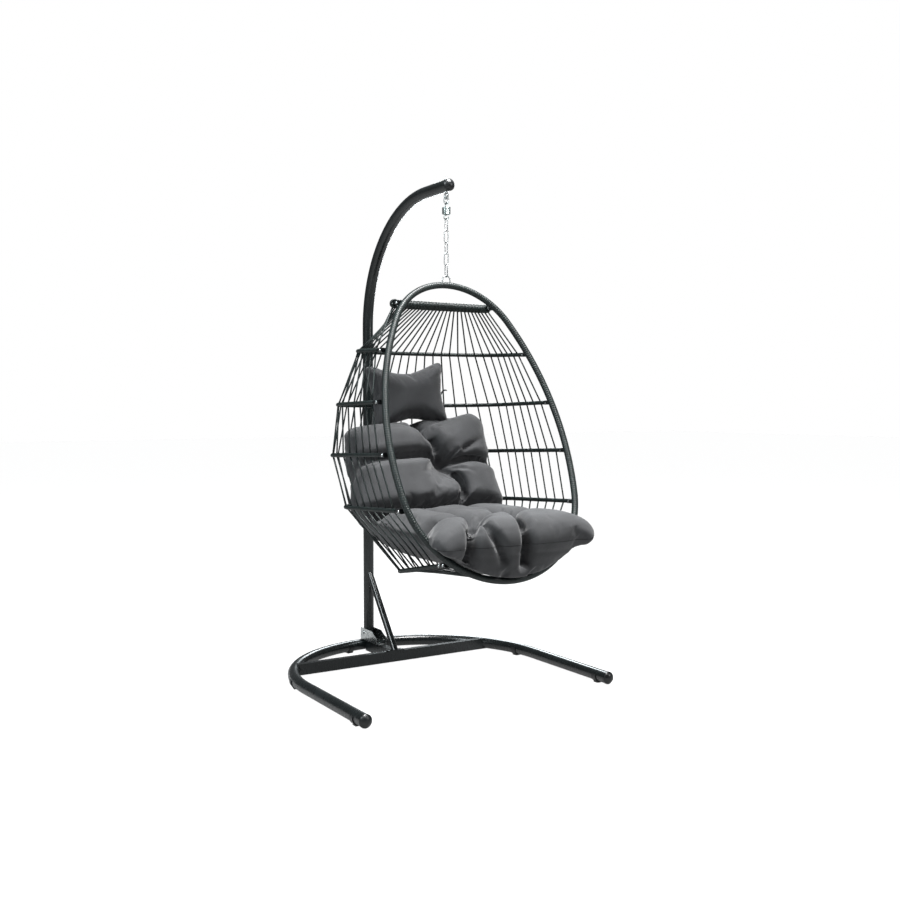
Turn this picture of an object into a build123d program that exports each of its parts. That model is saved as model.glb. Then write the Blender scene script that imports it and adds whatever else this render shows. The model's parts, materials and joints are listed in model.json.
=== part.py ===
from build123d import *
import math
import os

# Hanging egg chair, millimetres. +Z is up and the sitter faces -Y.
# The model is built about the mast's axis; place() moves it so that the origin
# lies on the floor under the middle of the whole chair.

# ---- fits and clearances -------------------------------------------------------
weld_gap = 0.1            # between a coped tube end and the tube that it is welded to
slip_gap = 0.05           # radial, between a neck and the tube that it slides into
bolt_gap = 0.1            # radial, between a bolt and its hole
rest_gap = 0.3            # between soft pieces, cords or links and what they touch

# ---- base ----------------------------------------------------------------------
base_tube_d = 47.0
base_tube_wall = 1.5
base_half_width = 529.0   # mast axis to a leg's centre line; also the back arc's radius
arc_back_y = 25.0         # centre line of the back arc, behind the mast's axis
arc_straight = 70.0       # straight stretch at each end of the back arc
leg_length = 418.0        # visible length of a leg, without its cap
neck_length = 60.0        # swaged end that slides into the next tube
foot_height = 5.0         # floor to the underside of the base tubes
foot_length = 24.0
foot_strap = 3.0
foot_pad_width = 26.0
cap_rim = 6.0
cap_overhang = 1.0
cap_dome = 14.0
cap_plug = 20.0
crossbar_y = -240.0
crossbar_depth = 25.0
crossbar_height = 45.0
bar_wall = 1.5
spine_width = 30.0
rear_foot_x = 89.0
elbow_foot_y = -400.0
front_foot_y = -937.0

# ---- mast, strut and bracket ---------------------------------------------------
mast_d = 45.0
mast_wall = 2.0
mast_joint_z = 900.0
arm_z = 1927.5            # centre line of the level end of the arm
arm_radius = 500.0
arm_reach = 655.0         # mast axis to the eye bolt
arm_tail = 16.0           # tube beyond the eye bolt, up to the end cap
arm_plug = 9.0
bracket_sheet = 3.0
bracket_height = 52.0
bracket_front = 118.0     # mast axis to the front of the bracket
bracket_back = 30.0
mast_bolt_d = 8.0
mast_bolt_rise = 30.0     # bracket floor to the bolt through the mast
spine_bolt_y = (-52.0, -96.0)
strut_d = 28.0
strut_wall = 1.5
strut_top_z = 362.0
strut_foot_y = -236.0
strut_plate = 4.0
strut_plate_length = 76.0
strut_plate_width = 24.0
strut_bolt_x = 29.0
strut_bolt_d = 6.0
joint_screw_d = 6.0
joint_screw_setback = 25.0

# ---- hanger --------------------------------------------------------------------
eye_radius = 11.0         # centre line of the eye
eye_wire = 7.0
eye_shank_d = 8.0
eye_drop = 16.0           # underside of the arm to the eye's centre
washer_d = 18.0
washer_thick = 1.6
hook_wire = 6.0
hook_span = 26.0          # between the centres of its two bends
hook_radius = 9.0
spring_wire = 4.0
spring_radius = 14.5
spring_turns = 9
spring_pitch = 3.7
spring_loop_radius = 8.5
link_wire = 4.0
link_span = 48.0          # between the centre lines of a link's two ends
link_radius = 8.5
link_count = 5
shackle_wire = 5.0
shackle_half_width = 17.0
shackle_rise = 24.0       # ring's outer surface to the shackle's top centre line

# ---- front ring of the basket --------------------------------------------------
ring_tube_d = 22.0
ring_wall = 1.5
wrap_thick = 1.5
ring_lean = 22.3          # degrees, the foot of the ring leans forward
ring_arcs = ((282.0, 61.4), (1117.0, 37.5), (355.0, 30.4))   # radius, turn: from the top down
lug_thick = 3.0
lug_height = 16.0
lug_reach = 34.0          # ring's centre line to a bolt, straight back

# ---- hoops: drop below the ring's top, depth, corner radius, bow and rise at back
hoop_tube_d = 13.0
hoop_wall = 1.2
hoop_table = (
    # name, drop, depth, corner radius, half bow angle, rise
    ("top_bar", 77.0, 54.0, 24.0, 2.0, 0.0),
    ("upper_hoop", 261.0, 360.0, 175.0, 28.0, 10.0),
    ("shoulder_hoop", 448.0, 505.0, 180.0, 23.0, -13.0),
    ("middle_hoop", 632.0, 590.0, 175.0, 20.0, -25.0),
    ("seat_hoop", 823.0, 590.0, 170.0, 20.0, -30.0),
    ("floor_hoop", 1005.0, 440.0, 130.0, 20.0, -88.0),
)
sleeve_side = 17.0
sleeve_length = 30.0
sleeve_nose = 11.0        # bolt axis to the closed front of the sleeve
hoop_bolt_d = 6.0
second_bolt_back = 28.0   # the floor hoop has two bolts on each side
floor_sleeve_length = 52.0

# ---- lacing --------------------------------------------------------------------
cord_d = 5.5
cord_count = 31
cord_margin = 46.0        # bolt to the first cord on a hoop
floor_cord_margin = 66.0
top_cord_margin = 36.0
floor_cord_count = 13
floor_cord_reach = 178.0  # outermost floor cord, from the middle

# ---- cushions ------------------------------------------------------------------
seat_front = 492.0        # hang point to the front of the seat, forward
seat_back = 15.0          # hang point to the back of the seat, backward
seat_low_half_width = 165.0
seat_mid_half_width = 238.0
seat_top_half_width = 278.0
seat_mid_rise = 62.0
seat_thick = 165.0
backrest_side = (          # back from the hang point, up from the seat's underside
    (-10.0, 90.0), (100.0, 500.0), (140.0, 540.0), (285.0, 540.0),
    (315.0, 410.0), (200.0, 215.0), (90.0, 90.0))
backrest_plan = ((0.0, 330.0), (150.0, 330.0), (290.0, 170.0), (310.0, -20.0), (0.0, -20.0))
backrest_front = (         # half width, up from the seat's underside
    (0.0, 60.0), (262.0, 60.0), (310.0, 190.0), (310.0, 400.0), (270.0, 560.0), (0.0, 560.0))
pillow_width = 370.0
pillow_height = 200.0
pillow_thick = 100.0
pillow_back = 258.0       # hang point to the pillow's back
pillow_edge = 30.0
strap_width = 15.0
strap_thick = 1.5
strap_slack = 2.0
strap_cord = 2.5          # cords from the middle to a strap

# ---- sizes worked out from the ones above --------------------------------------
base_r = base_tube_d / 2
spine_height = base_tube_d + 2 * rest_gap
base_z = foot_height + base_r
arc_centre_y = arc_back_y - base_half_width
leg_back_y = arc_centre_y - arc_straight
leg_front_y = leg_back_y - leg_length
bar_top_z = base_z + crossbar_height / 2
spine_top_z = base_z + spine_height / 2
mast_r = mast_d / 2
mast_foot_z = spine_top_z + bracket_sheet
hang_y = -arm_reach
eye_z = arm_z - mast_r - eye_drop
hook_top_z = eye_z - eye_radius + (eye_wire + hook_wire) / 2 + rest_gap
hook_low_z = hook_top_z - hook_span
loop_top_z = hook_low_z + (hook_wire + spring_wire) / 2 + rest_gap
loop_z = loop_top_z - spring_loop_radius
coil_top_z = loop_z - spring_loop_radius - spring_wire / 4
coil_low_z = coil_top_z - spring_pitch * (spring_turns - 1)
low_loop_z = coil_low_z - spring_wire / 4 - spring_loop_radius
low_loop_end_z = low_loop_z - spring_loop_radius
link_top_z = low_loop_end_z + (spring_wire + link_wire) / 2 + rest_gap
link_pitch = link_span - link_wire - rest_gap
chain_end_z = link_top_z - (link_count - 1) * link_pitch - link_span
shackle_z = chain_end_z + (link_wire + shackle_wire) / 2 + rest_gap
ring_r = ring_tube_d / 2
ring_wrap_r = ring_r + wrap_thick
ring_top_z = shackle_z - shackle_rise - ring_wrap_r
hoop_r = hoop_tube_d / 2
hoop_wrap_r = hoop_r + wrap_thick
cord_r = cord_d / 2
lean = math.radians(ring_lean)
hoop_side = lug_thick / 2 + slip_gap + sleeve_side / 2     # lug's middle to the hoop's axis
seat_front_y = hang_y - seat_front
base_back_y = arc_back_y + base_r
middle_y = (seat_front_y + base_back_y) / 2


def place(shape):
    """The shape moved from the mast's axis to the chair's own origin."""
    return Location((0, -middle_y, 0)) * shape


def save(name, shape):
    """Write one sub-part to its own file."""
    export_step(place(shape), f"parts/{name}.step")


def both_sides(shape):
    """The shape and its mirror image across the middle plane, as separate solids."""
    return Compound(list(shape.solids()) + list(mirror(shape, Plane.YZ).solids()))


def rod(start, end, radius):
    """Round bar from one point to another."""
    axis = Vector(end) - Vector(start)
    plane = Plane(origin=start, z_dir=axis)
    return plane * Cylinder(radius, axis.length, align=(Align.CENTER, Align.CENTER, Align.MIN))


def pipe(start, end, outer, inner):
    """Hollow round bar from one point to another."""
    return rod(start, end, outer) - rod(start, end, inner)


def dome(seat, axis, radius, height):
    """Round cap with a flat underside on the seat point, facing along the axis."""
    ball_r = (radius**2 + height**2) / (2 * height)
    middle = (radius * 0.6, height - ball_r + math.sqrt(ball_r**2 - (radius * 0.6)**2))
    edges = [Line((0, 0), (radius, 0)), ThreePointArc((radius, 0), middle, (0, height)),
             Line((0, height), (0, 0))]
    cap = revolve(Plane.XZ * make_face(edges), axis=Axis.Z)
    return Plane(origin=seat, z_dir=axis) * cap


def swept(path, outer, inner=0.0):
    """Round section, hollow where inner is above zero, along a smooth path."""
    ring = Circle(outer) - Circle(inner) if inner else Circle(outer)
    section = Plane(origin=path @ 0, z_dir=path % 0) * ring
    return sweep(section, path=path)


def flat_path(start, heading, steps):
    """Wire of straight runs (0, length) and arcs (radius, turn in degrees) in the XY plane."""
    edges = []
    point = Vector(*start)
    direction = Vector(math.cos(math.radians(heading)), math.sin(math.radians(heading)))
    for radius, size in steps:
        if radius:
            edge = JernArc(point, direction, radius, size)
        else:
            edge = Line(point, point + direction * size)
        edges.append(edge)
        point = edge @ 1
        direction = edge % 1
    return Wire(edges)


# ---- base ----------------------------------------------------------------------
def arc_path():
    """Centre line of the back arc, from the right leg's socket to the left one's."""
    steps = ((0, arc_straight), (base_half_width, 180.0), (0, arc_straight))
    path = flat_path((base_half_width, leg_back_y), 90.0, steps)
    return Location((0, 0, base_z)) * path


def base_arc():
    """Bent back tube, open at both ends for the legs' necks."""
    return swept(arc_path(), base_r, base_r - base_tube_wall)


def leg():
    """Right leg: straight tube with a swaged neck at the back."""
    inner = base_r - base_tube_wall
    front = (base_half_width, leg_front_y, base_z)
    back = (base_half_width, leg_back_y - weld_gap, base_z)
    tip = (base_half_width, leg_back_y + neck_length, base_z)
    shell = rod(front, back, base_r) + rod(back, tip, inner - slip_gap)
    return shell - rod(front, tip, inner - slip_gap - base_tube_wall)


def end_plug(face, direction, tube_r, bore_r, plug):
    """Plastic plug in a tube's end: a stub inside, a rim against the face and a domed head."""
    axis = Vector(direction).normalized()
    start = Vector(face) + axis * slip_gap
    shoulder = start + axis * cap_rim
    rim = rod(start, shoulder, tube_r + cap_overhang)
    head = dome(shoulder, axis, tube_r + cap_overhang, cap_dome)
    return rod(start - axis * plug, start, bore_r - slip_gap) + rim + head


def leg_cap():
    """Plug at the front of the right leg."""
    bore = base_r - base_tube_wall - slip_gap - base_tube_wall
    return end_plug((base_half_width, leg_front_y, base_z), (0, -1, 0), base_r, bore, cap_plug)


def foot(x, y, turn):
    """Saddle clip under a base tube; turn is the tube's heading from the Y axis, degrees."""
    inner = base_r + rest_gap
    outer = inner + foot_strap
    strap = Cylinder(outer, foot_length, rotation=(90, 0, 0))
    pad = Location((0, 0, -base_z / 2)) * Box(foot_pad_width, foot_length, base_z)
    bore = Cylinder(inner, 2 * foot_length, rotation=(90, 0, 0))
    below = Location((0, 0, -3 * outer / 4)) * Box(4 * outer, 2 * foot_length, 2 * outer)
    clip = ((strap + pad) - bore) & below
    return Location((x, y, base_z), (0, 0, turn)) * clip


def floor_feet():
    """Six saddle clips: two near the mast, two at the elbows and two near the leg tips."""
    rise = elbow_foot_y - arc_centre_y
    elbow_turn = math.degrees(math.asin(rise / base_half_width))
    elbow_x = math.sqrt(base_half_width**2 - rise**2)
    rear_turn = math.degrees(math.acos(rear_foot_x / base_half_width))
    rear_y = arc_centre_y + math.sqrt(base_half_width**2 - rear_foot_x**2)
    feet = []
    for side in (1, -1):
        feet.append(foot(side * base_half_width, front_foot_y, 0))
        feet.append(foot(side * elbow_x, elbow_foot_y, side * elbow_turn))
        feet.append(foot(side * rear_foot_x, rear_y, side * rear_turn))
    return Compound([solid for one in feet for solid in one.solids()])


def crossbar():
    """Rectangular tube between the two sides of the arc, coped to them."""
    length = 2 * math.sqrt(base_half_width**2 - (crossbar_y - arc_centre_y)**2)
    size = (length, crossbar_depth, crossbar_height)
    bore = (length, crossbar_depth - 2 * bar_wall, crossbar_height - 2 * bar_wall)
    bar = Location((0, crossbar_y, base_z)) * (Box(*size) - Box(*bore))
    for x in (-strut_bolt_x, strut_bolt_x):
        bar = bar - rod((x, crossbar_y, base_z), (x, crossbar_y, bar_top_z + 1), strut_bolt_d / 2 + bolt_gap)
    return largest(bar - swept(arc_path(), base_r + weld_gap))


def spine():
    """Short rectangular tube from the crossbar back to the middle of the arc."""
    front = crossbar_y + crossbar_depth / 2 + weld_gap
    length = arc_back_y - base_r - weld_gap - front
    size = (spine_width, length, spine_height)
    bore = (spine_width - 2 * bar_wall, length, spine_height - 2 * bar_wall)
    bar = Location((0, front + length / 2, base_z)) * (Box(*size) - Box(*bore))
    for y in spine_bolt_y:
        bar = bar - rod((0, y, base_z), (0, y, spine_top_z + 1), strut_bolt_d / 2 + bolt_gap)
    return bar


def largest(shape):
    """The biggest solid of a cut, which leaves the offcuts behind."""
    return max(shape.solids(), key=lambda solid: solid.volume)


# ---- mast, strut and their fixings ---------------------------------------------
def mast_lower():
    """Straight lower tube of the mast, drilled for the bracket's bolt and the joint's screw."""
    tube = pipe((0, 0, mast_foot_z), (0, 0, mast_joint_z), mast_r, mast_r - mast_wall)
    bolt_z = mast_foot_z + mast_bolt_rise
    tube = tube - rod((-mast_d, 0, bolt_z), (mast_d, 0, bolt_z), mast_bolt_d / 2 + bolt_gap)
    screw_z = mast_joint_z - joint_screw_setback
    return tube - rod((0, 0, screw_z), (0, mast_d, screw_z), joint_screw_d / 2 + bolt_gap)


def arm_path():
    """Centre line of the mast's upper tube, from the joint to the end of the arm."""
    rise = arm_z - arm_radius - mast_joint_z
    level = arm_reach + arm_tail - arm_radius
    steps = ((0, rise), (arm_radius, 90.0), (0, level))
    flat = flat_path((0, 0), 90.0, steps)
    side = Plane(origin=(0, 0, mast_joint_z), x_dir=(0, 1, 0), z_dir=(1, 0, 0))
    return side.location * flat


def mast_upper():
    """Upper tube, bent forward into the arm, with a neck that slides into the lower tube."""
    inner = mast_r - mast_wall
    neck_r = inner - slip_gap
    foot_z = mast_joint_z - neck_length
    tube = swept(arm_path(), mast_r, inner)
    neck = rod((0, 0, foot_z), (0, 0, mast_joint_z), neck_r)
    shoulder = rod((0, 0, mast_joint_z), (0, 0, mast_joint_z + 2 * mast_wall), mast_r - mast_wall / 2)
    tube = tube + neck + shoulder
    tube = tube - rod((0, 0, foot_z), (0, 0, mast_joint_z + 3 * mast_wall), neck_r - mast_wall)
    shank = rod((0, hang_y, arm_z - mast_d), (0, hang_y, arm_z + mast_d), eye_shank_d / 2 + bolt_gap)
    screw_z = mast_joint_z - joint_screw_setback
    return tube - shank - rod((0, 0, screw_z), (0, mast_d, screw_z), joint_screw_d / 2 + bolt_gap)


def screw(seat, direction, shank, length):
    """Round-headed screw: the head sits on the seat point, the shank runs the other way."""
    axis = Vector(direction).normalized()
    seat = Vector(seat) + axis * slip_gap
    return dome(seat, axis, shank, 0.55 * shank) + rod(seat, seat - axis * length, shank / 2)


def nut(seat, direction, shank):
    """Hexagon nut against the seat point, for a shank of the given diameter."""
    axis = Vector(direction).normalized()
    plane = Plane(origin=Vector(seat) + axis * slip_gap, z_dir=axis)
    blank = RegularPolygon(shank, 6) - Circle(shank / 2 + slip_gap)
    return plane * extrude(blank, 0.8 * shank)


def mast_bracket():
    """Folded U-shaped bracket that holds the mast's foot, bolted to the spine."""
    inner = 2 * (mast_r + bolt_gap)
    outer = inner + 2 * bracket_sheet
    length = bracket_front + bracket_back
    middle = (bracket_back - bracket_front) / 2
    low = (Align.CENTER, Align.CENTER, Align.MIN)
    body = Location((0, middle, spine_top_z)) * Box(outer, length, bracket_height, align=low)
    slot = Location((0, middle, mast_foot_z)) * Box(inner, length, bracket_height, align=low)
    body = body - slot
    corner = bracket_height - bracket_sheet
    slope = Plane.YZ * make_face(Polyline(
        (-bracket_front, spine_top_z + bracket_height),
        (-bracket_front, spine_top_z + bracket_height / 2),
        (-bracket_front + corner, spine_top_z + bracket_height),
        close=True))
    body = body - extrude(slope, outer, both=True)
    bolt_z = mast_foot_z + mast_bolt_rise
    body = body - rod((-outer, 0, bolt_z), (outer, 0, bolt_z), mast_bolt_d / 2 + bolt_gap)
    for y in spine_bolt_y:
        body = body - rod((0, y, base_z), (0, y, mast_foot_z + 1), strut_bolt_d / 2 + bolt_gap)
    return body


def bracket_bolts():
    """Long bolt through the mast and two screws down into the spine."""
    half = mast_r + bolt_gap + bracket_sheet
    bolt_z = mast_foot_z + mast_bolt_rise
    reach = 2 * half + mast_bolt_d + 2 * slip_gap
    bolts = [screw((-half, 0, bolt_z), (-1, 0, 0), mast_bolt_d, reach)]
    for y in spine_bolt_y:
        bolts.append(screw((0, y, mast_foot_z), (0, 0, 1), strut_bolt_d, 2 * mast_bolt_d))
    return Compound([solid for bolt in bolts for solid in bolt.solids()])


def bracket_nut():
    """Nut on the bolt through the mast."""
    half = mast_r + bolt_gap + bracket_sheet
    return nut((half, 0, mast_foot_z + mast_bolt_rise), (1, 0, 0), mast_bolt_d)


def mast_strut():
    """Slanted tube from the front of the mast down to the plate on the crossbar."""
    top = (0, 0, strut_top_z)
    foot_z = bar_top_z + strut_plate + weld_gap
    foot_point = Vector(0, strut_foot_y, foot_z)
    beyond = foot_point + (foot_point - Vector(top)) * 0.1
    strut = pipe(top, beyond, strut_d / 2, strut_d / 2 - strut_wall)
    mast = rod((0, 0, 0), (0, 0, 2 * strut_top_z), mast_r + weld_gap)
    floor = Location((0, 0, foot_z)) * Box(4 * base_half_width, 4 * base_half_width, 4 * strut_d,
                                           align=(Align.CENTER, Align.CENTER, Align.MAX))
    return largest(strut - mast - floor)


def strut_plate_shape():
    """Flat plate under the strut, drilled for two screws into the crossbar."""
    low = (Align.CENTER, Align.CENTER, Align.MIN)
    plate = Box(strut_plate_length, strut_plate_width, strut_plate, align=low)
    plate = Location((0, crossbar_y, bar_top_z)) * plate
    for x in (-strut_bolt_x, strut_bolt_x):
        plate = plate - rod((x, crossbar_y, base_z), (x, crossbar_y, bar_top_z + 2 * strut_plate),
                            strut_bolt_d / 2 + bolt_gap)
    return plate


def strut_screws():
    """Two screws that hold the strut's plate on the crossbar."""
    seat_z = bar_top_z + strut_plate
    return both_sides(screw((strut_bolt_x, crossbar_y, seat_z), (0, 0, 1), strut_bolt_d, 2 * mast_bolt_d))


def joint_screw():
    """Screw that locks the mast's two tubes together, from behind."""
    seat = (0, mast_r, mast_joint_z - joint_screw_setback)
    return screw(seat, (0, 1, 0), joint_screw_d, 3 * mast_wall)


def arm_cap():
    """Plug in the end of the arm."""
    face = (0, hang_y - arm_tail, arm_z)
    return end_plug(face, (0, -1, 0), mast_r, mast_r - mast_wall, arm_plug)


# ---- hanger --------------------------------------------------------------------
def eye_bolt():
    """Eye under the arm, with a shank that goes up through it."""
    eye = Location((0, hang_y, eye_z), (0, 90, 0)) * Torus(eye_radius, eye_wire / 2)
    top = arm_z + mast_r + 2 * washer_thick + eye_shank_d
    return eye + rod((0, hang_y, eye_z + eye_radius), (0, hang_y, top), eye_shank_d / 2)


def eye_washer():
    """Washer on top of the arm, hollowed to sit on the tube."""
    ring = Circle(washer_d / 2) - Circle(eye_shank_d / 2 + bolt_gap)
    blank = extrude(ring, 4 * washer_thick)
    low_z = arm_z + mast_r - 3 * washer_thick
    washer = Location((0, hang_y, low_z)) * blank
    tube = rod((0, hang_y - mast_d, arm_z), (0, hang_y + mast_d, arm_z), mast_r + slip_gap)
    return washer - tube


def eye_nut():
    """Nut that holds the eye bolt, on top of the washer."""
    return nut((0, hang_y, arm_z + mast_r + washer_thick), (0, 0, 1), eye_shank_d)


def oblong_link(span, radius, wire_r):
    """Closed oblong link in the XZ plane; its top bend is centred on the origin."""
    straight = span - 2 * radius
    steps = ((radius, 180.0), (0, straight), (radius, 180.0), (0, straight))
    path = flat_path((radius, 0), 90.0, steps)
    return Plane.XZ.location * swept(path, wire_r)


def top_hook():
    """Closed oval ring that joins the eye bolt to the spring."""
    ring = oblong_link(hook_span, hook_radius, hook_wire / 2)
    return Location((0, hang_y, hook_top_z - hook_radius)) * ring


def spring():
    """Close-wound extension spring with a loop at each end, as one ribbed barrel."""
    wire_r = spring_wire / 2
    coil = Sketch() + [Location((spring_radius, -turn * spring_pitch)) * Circle(wire_r)
                       for turn in range(spring_turns)]
    barrel = revolve(Plane.XZ * coil, axis=Axis.Z)
    body = Location((0, hang_y, coil_top_z)) * barrel
    for centre, end, turn in ((loop_z, coil_top_z, 90), (low_loop_z, coil_low_z, 0)):
        loop = Location((0, 0, centre), (90, 0, 0)) * Torus(spring_loop_radius, wire_r)
        bar = rod((-spring_radius, 0, end), (spring_radius, 0, end), wire_r)
        body = body + Location((0, hang_y, 0), (0, 0, turn)) * (loop + bar)
    return body


def link(index):
    """One chain link; every second one is turned a quarter turn."""
    shape = oblong_link(link_span, link_radius, link_wire / 2)
    turn = 90 if index % 2 == 0 else 0
    top = link_top_z - index * link_pitch - link_radius
    return Location((0, hang_y, top), (0, 0, turn)) * shape


# ---- front ring ----------------------------------------------------------------
ring_plane = Plane(origin=(0, hang_y, ring_top_z), x_dir=(1, 0, 0),
                   z_dir=(0, -math.cos(lean), math.sin(lean)))


def ring_corners():
    """Centre, radius and first and last turn of each arc on the ring's right half."""
    arcs = []
    x, down, heading = 0.0, 0.0, 0.0
    for radius, turn in ring_arcs:
        centre = (x - radius * math.sin(heading), down + radius * math.cos(heading))
        last = heading + math.radians(turn)
        arcs.append((centre, radius, heading, last))
        x = centre[0] + radius * math.sin(last)
        down = centre[1] - radius * math.cos(last)
        heading = last
    low_r = x / math.sin(heading)
    arcs.append(((0.0, down + low_r * math.cos(heading)), low_r, heading, math.pi))
    return arcs


low_arc = ring_corners()[-1]
ring_length = low_arc[0][1] + low_arc[1]
low_turn = math.degrees(math.pi - low_arc[2])


def ring_half_width(down):
    """Half the ring's width at a distance down its plane from its top."""
    for centre, radius, first, last in ring_corners():
        low = centre[1] - radius * math.cos(last)
        if down <= low:
            return centre[0] + math.sqrt(radius**2 - (down - centre[1])**2)
    return 0.0


def ring_point(x, down):
    """Point on the ring's plane, from the middle and from the top."""
    return Vector(x, hang_y - down * math.sin(lean), ring_top_z - down * math.cos(lean))


def ring_bottom_point(x):
    """Point on the centre line of the ring's lowest arc."""
    return ring_point(x, low_arc[0][1] + math.sqrt(low_arc[1]**2 - x**2))


def ring_path():
    """Closed centre line of the ring, clockwise from its top."""
    side = [(radius, -turn) for radius, turn in ring_arcs]
    steps = side + [(low_arc[1], -2 * low_turn)] + side[::-1]
    return ring_plane.location * flat_path((0, 0), 0.0, steps)


def lug_box(entry, grow):
    """Flat lug from the ring back to a hoop's bolts, on the right side."""
    reach = lug_reach + lug_height / 2 + (second_bolt_back if entry == hoop_table[-1] else 0)
    origin = hoop_lug_point(entry)
    size = (lug_thick + 2 * grow, reach, lug_height + 2 * grow)
    low = (Align.CENTER, Align.MIN, Align.CENTER)
    plane = Plane(origin=origin, x_dir=(1, 0, 0), z_dir=hoop_normal(entry))
    return plane.location * Box(*size, align=low)


def front_ring():
    """Bent ring tube with its twelve welded lugs."""
    tube = swept(ring_path(), ring_r, ring_r - ring_wall)
    bore = swept(ring_path(), ring_r - ring_wall)
    for entry in hoop_table:
        lug = lug_box(entry, 0) - bore
        for bolt in hoop_bolt_points(entry):
            lug = lug - rod(bolt - Vector(2 * hoop_side, 0, 0), bolt, hoop_bolt_d / 2 + bolt_gap)
        lug = max(lug.solids(), key=lambda solid: solid.center().Y)
        tube = tube + lug + mirror(lug, Plane.YZ)
    return tube


def ring_wrap():
    """Wicker strip wound on the ring: a thin skin, open where the lugs pass."""
    skin = swept(ring_path(), ring_wrap_r, ring_r + slip_gap)
    for entry in hoop_table:
        lug = lug_box(entry, slip_gap)
        skin = skin - lug - mirror(lug, Plane.YZ)
    return skin


def shackle():
    """Round-topped wire loop welded to the top of the ring."""
    rise = shackle_z - ring_top_z - shackle_half_width
    steps = ((0, rise), (shackle_half_width, 180.0), (0, rise))
    path = Plane.XZ.location * flat_path((shackle_half_width, 0), 90.0, steps)
    loop = Location((0, hang_y, ring_top_z)) * swept(path, shackle_wire / 2)
    top_radius = ring_arcs[0][0]
    arch = ring_plane.location * Location((0, -top_radius, 0)) * Torus(top_radius, ring_wrap_r + slip_gap)
    return largest(loop - arch)


# ---- hoops ---------------------------------------------------------------------
def hoop_lug_point(entry):
    """Where a hoop's right lug starts, on the ring's centre line."""
    down = entry[1] / math.cos(lean)
    return ring_point(ring_half_width(down), down)


def hoop_tilt(entry):
    """Angle of a hoop's plane above level, looking back."""
    return math.atan2(entry[5], entry[2])


def hoop_normal(entry):
    """Upward normal of a hoop's plane."""
    tilt = hoop_tilt(entry)
    return (0, -math.sin(tilt), math.cos(tilt))


def hoop_plane(entry):
    """A hoop's plane: its origin is midway between the first bolts, +Y runs to the back."""
    tilt = hoop_tilt(entry)
    point = hoop_lug_point(entry)
    back = Vector(0, math.cos(tilt), math.sin(tilt)) * lug_reach
    return Plane(origin=(0, point.Y + back.Y, point.Z + back.Z), x_dir=(1, 0, 0),
                 z_dir=hoop_normal(entry))


def hoop_half_width(entry):
    """Half the width between a hoop's two straight arms, centre to centre."""
    return hoop_lug_point(entry).X + hoop_side


def hoop_bolts_back(entry):
    """Distances of a hoop's bolts behind the first one."""
    return (0.0, second_bolt_back) if entry == hoop_table[-1] else (0.0,)


def hoop_bolt_points(entry):
    """Points on a hoop's right arm where its bolts cross."""
    plane = hoop_plane(entry)
    half = hoop_half_width(entry)
    return [plane.from_local_coords(Vector(half, back, 0)) for back in hoop_bolts_back(entry)]


def sleeve_span(entry):
    """Length of a hoop's end sleeve behind its nose."""
    return floor_sleeve_length if entry == hoop_table[-1] else sleeve_length


def hoop_arcs(entry):
    """Back arc's radius, and the straight arm's end, of a hoop."""
    depth, corner, bow = entry[2], entry[3], math.radians(entry[4])
    back_r = (hoop_half_width(entry) - corner) / math.sin(bow) + corner
    arm = depth - back_r + (back_r - corner) * math.cos(bow)
    return back_r, arm


def hoop_path(entry, start):
    """Centre line of a hoop; start is where its arms begin, behind the first bolt."""
    corner, bow = entry[3], entry[4]
    back_r, arm = hoop_arcs(entry)
    steps = ((0, arm - start), (corner, 90 - bow), (back_r, 2 * bow), (corner, 90 - bow),
             (0, arm - start))
    return hoop_plane(entry).location * flat_path((hoop_half_width(entry), start), 90.0, steps)


def hoop(entry):
    """One bent hoop tube, drilled for its bolts."""
    tube = swept(hoop_path(entry, -sleeve_nose + 2 * hoop_wall), hoop_r, hoop_r - hoop_wall)
    for bolt in hoop_bolt_points(entry):
        side = Vector(sleeve_side, 0, 0)
        hole = rod(bolt - side, bolt + side, hoop_bolt_d / 2 + bolt_gap)
        tube = tube - hole - mirror(hole, Plane.YZ)
    return tube


def hoop_skin(entry):
    """Wicker strip wound on one hoop, between its sleeves."""
    start = sleeve_span(entry) - sleeve_nose + slip_gap
    return swept(hoop_path(entry, start), hoop_wrap_r, hoop_r + slip_gap)


def sleeve(entry):
    """Plastic end sleeve on a hoop's right arm: closed in front, drilled across."""
    length = sleeve_span(entry)
    centre = (hoop_half_width(entry), length / 2 - sleeve_nose, 0)
    body = Location(centre) * Box(sleeve_side, length, sleeve_side)
    body = fillet(body.edges().filter_by(Axis.Y), sleeve_side / 3.4)
    bore_start = (hoop_half_width(entry), -sleeve_nose + hoop_wall, 0)
    bore_end = (hoop_half_width(entry), length, 0)
    body = body - rod(bore_start, bore_end, hoop_r + slip_gap)
    body = hoop_plane(entry).location * body
    for bolt in hoop_bolt_points(entry):
        side = Vector(sleeve_side, 0, 0)
        body = body - rod(bolt - side, bolt + side, hoop_bolt_d / 2 + bolt_gap)
    return body


def hoop_bolt(point):
    """Round-headed bolt through a sleeve, its hoop and the lug, from outside."""
    seat = point + Vector(sleeve_side / 2, 0, 0)
    reach = sleeve_side + lug_thick + hoop_bolt_d + 2 * slip_gap
    return screw(seat, (1, 0, 0), hoop_bolt_d, reach)


def hoop_nut(point):
    """Nut on the inner face of the lug."""
    inside = hoop_side + lug_thick / 2
    return nut(point - Vector(inside, 0, 0), (-1, 0, 0), hoop_bolt_d)


def right_hand_bolts(make):
    """One fixing at each bolt point on the right, and its mirror image on the left."""
    points = [point for entry in hoop_table for point in hoop_bolt_points(entry)]
    solids = [solid for point in points for solid in make(point).solids()]
    return both_sides(Compound(solids))


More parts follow.
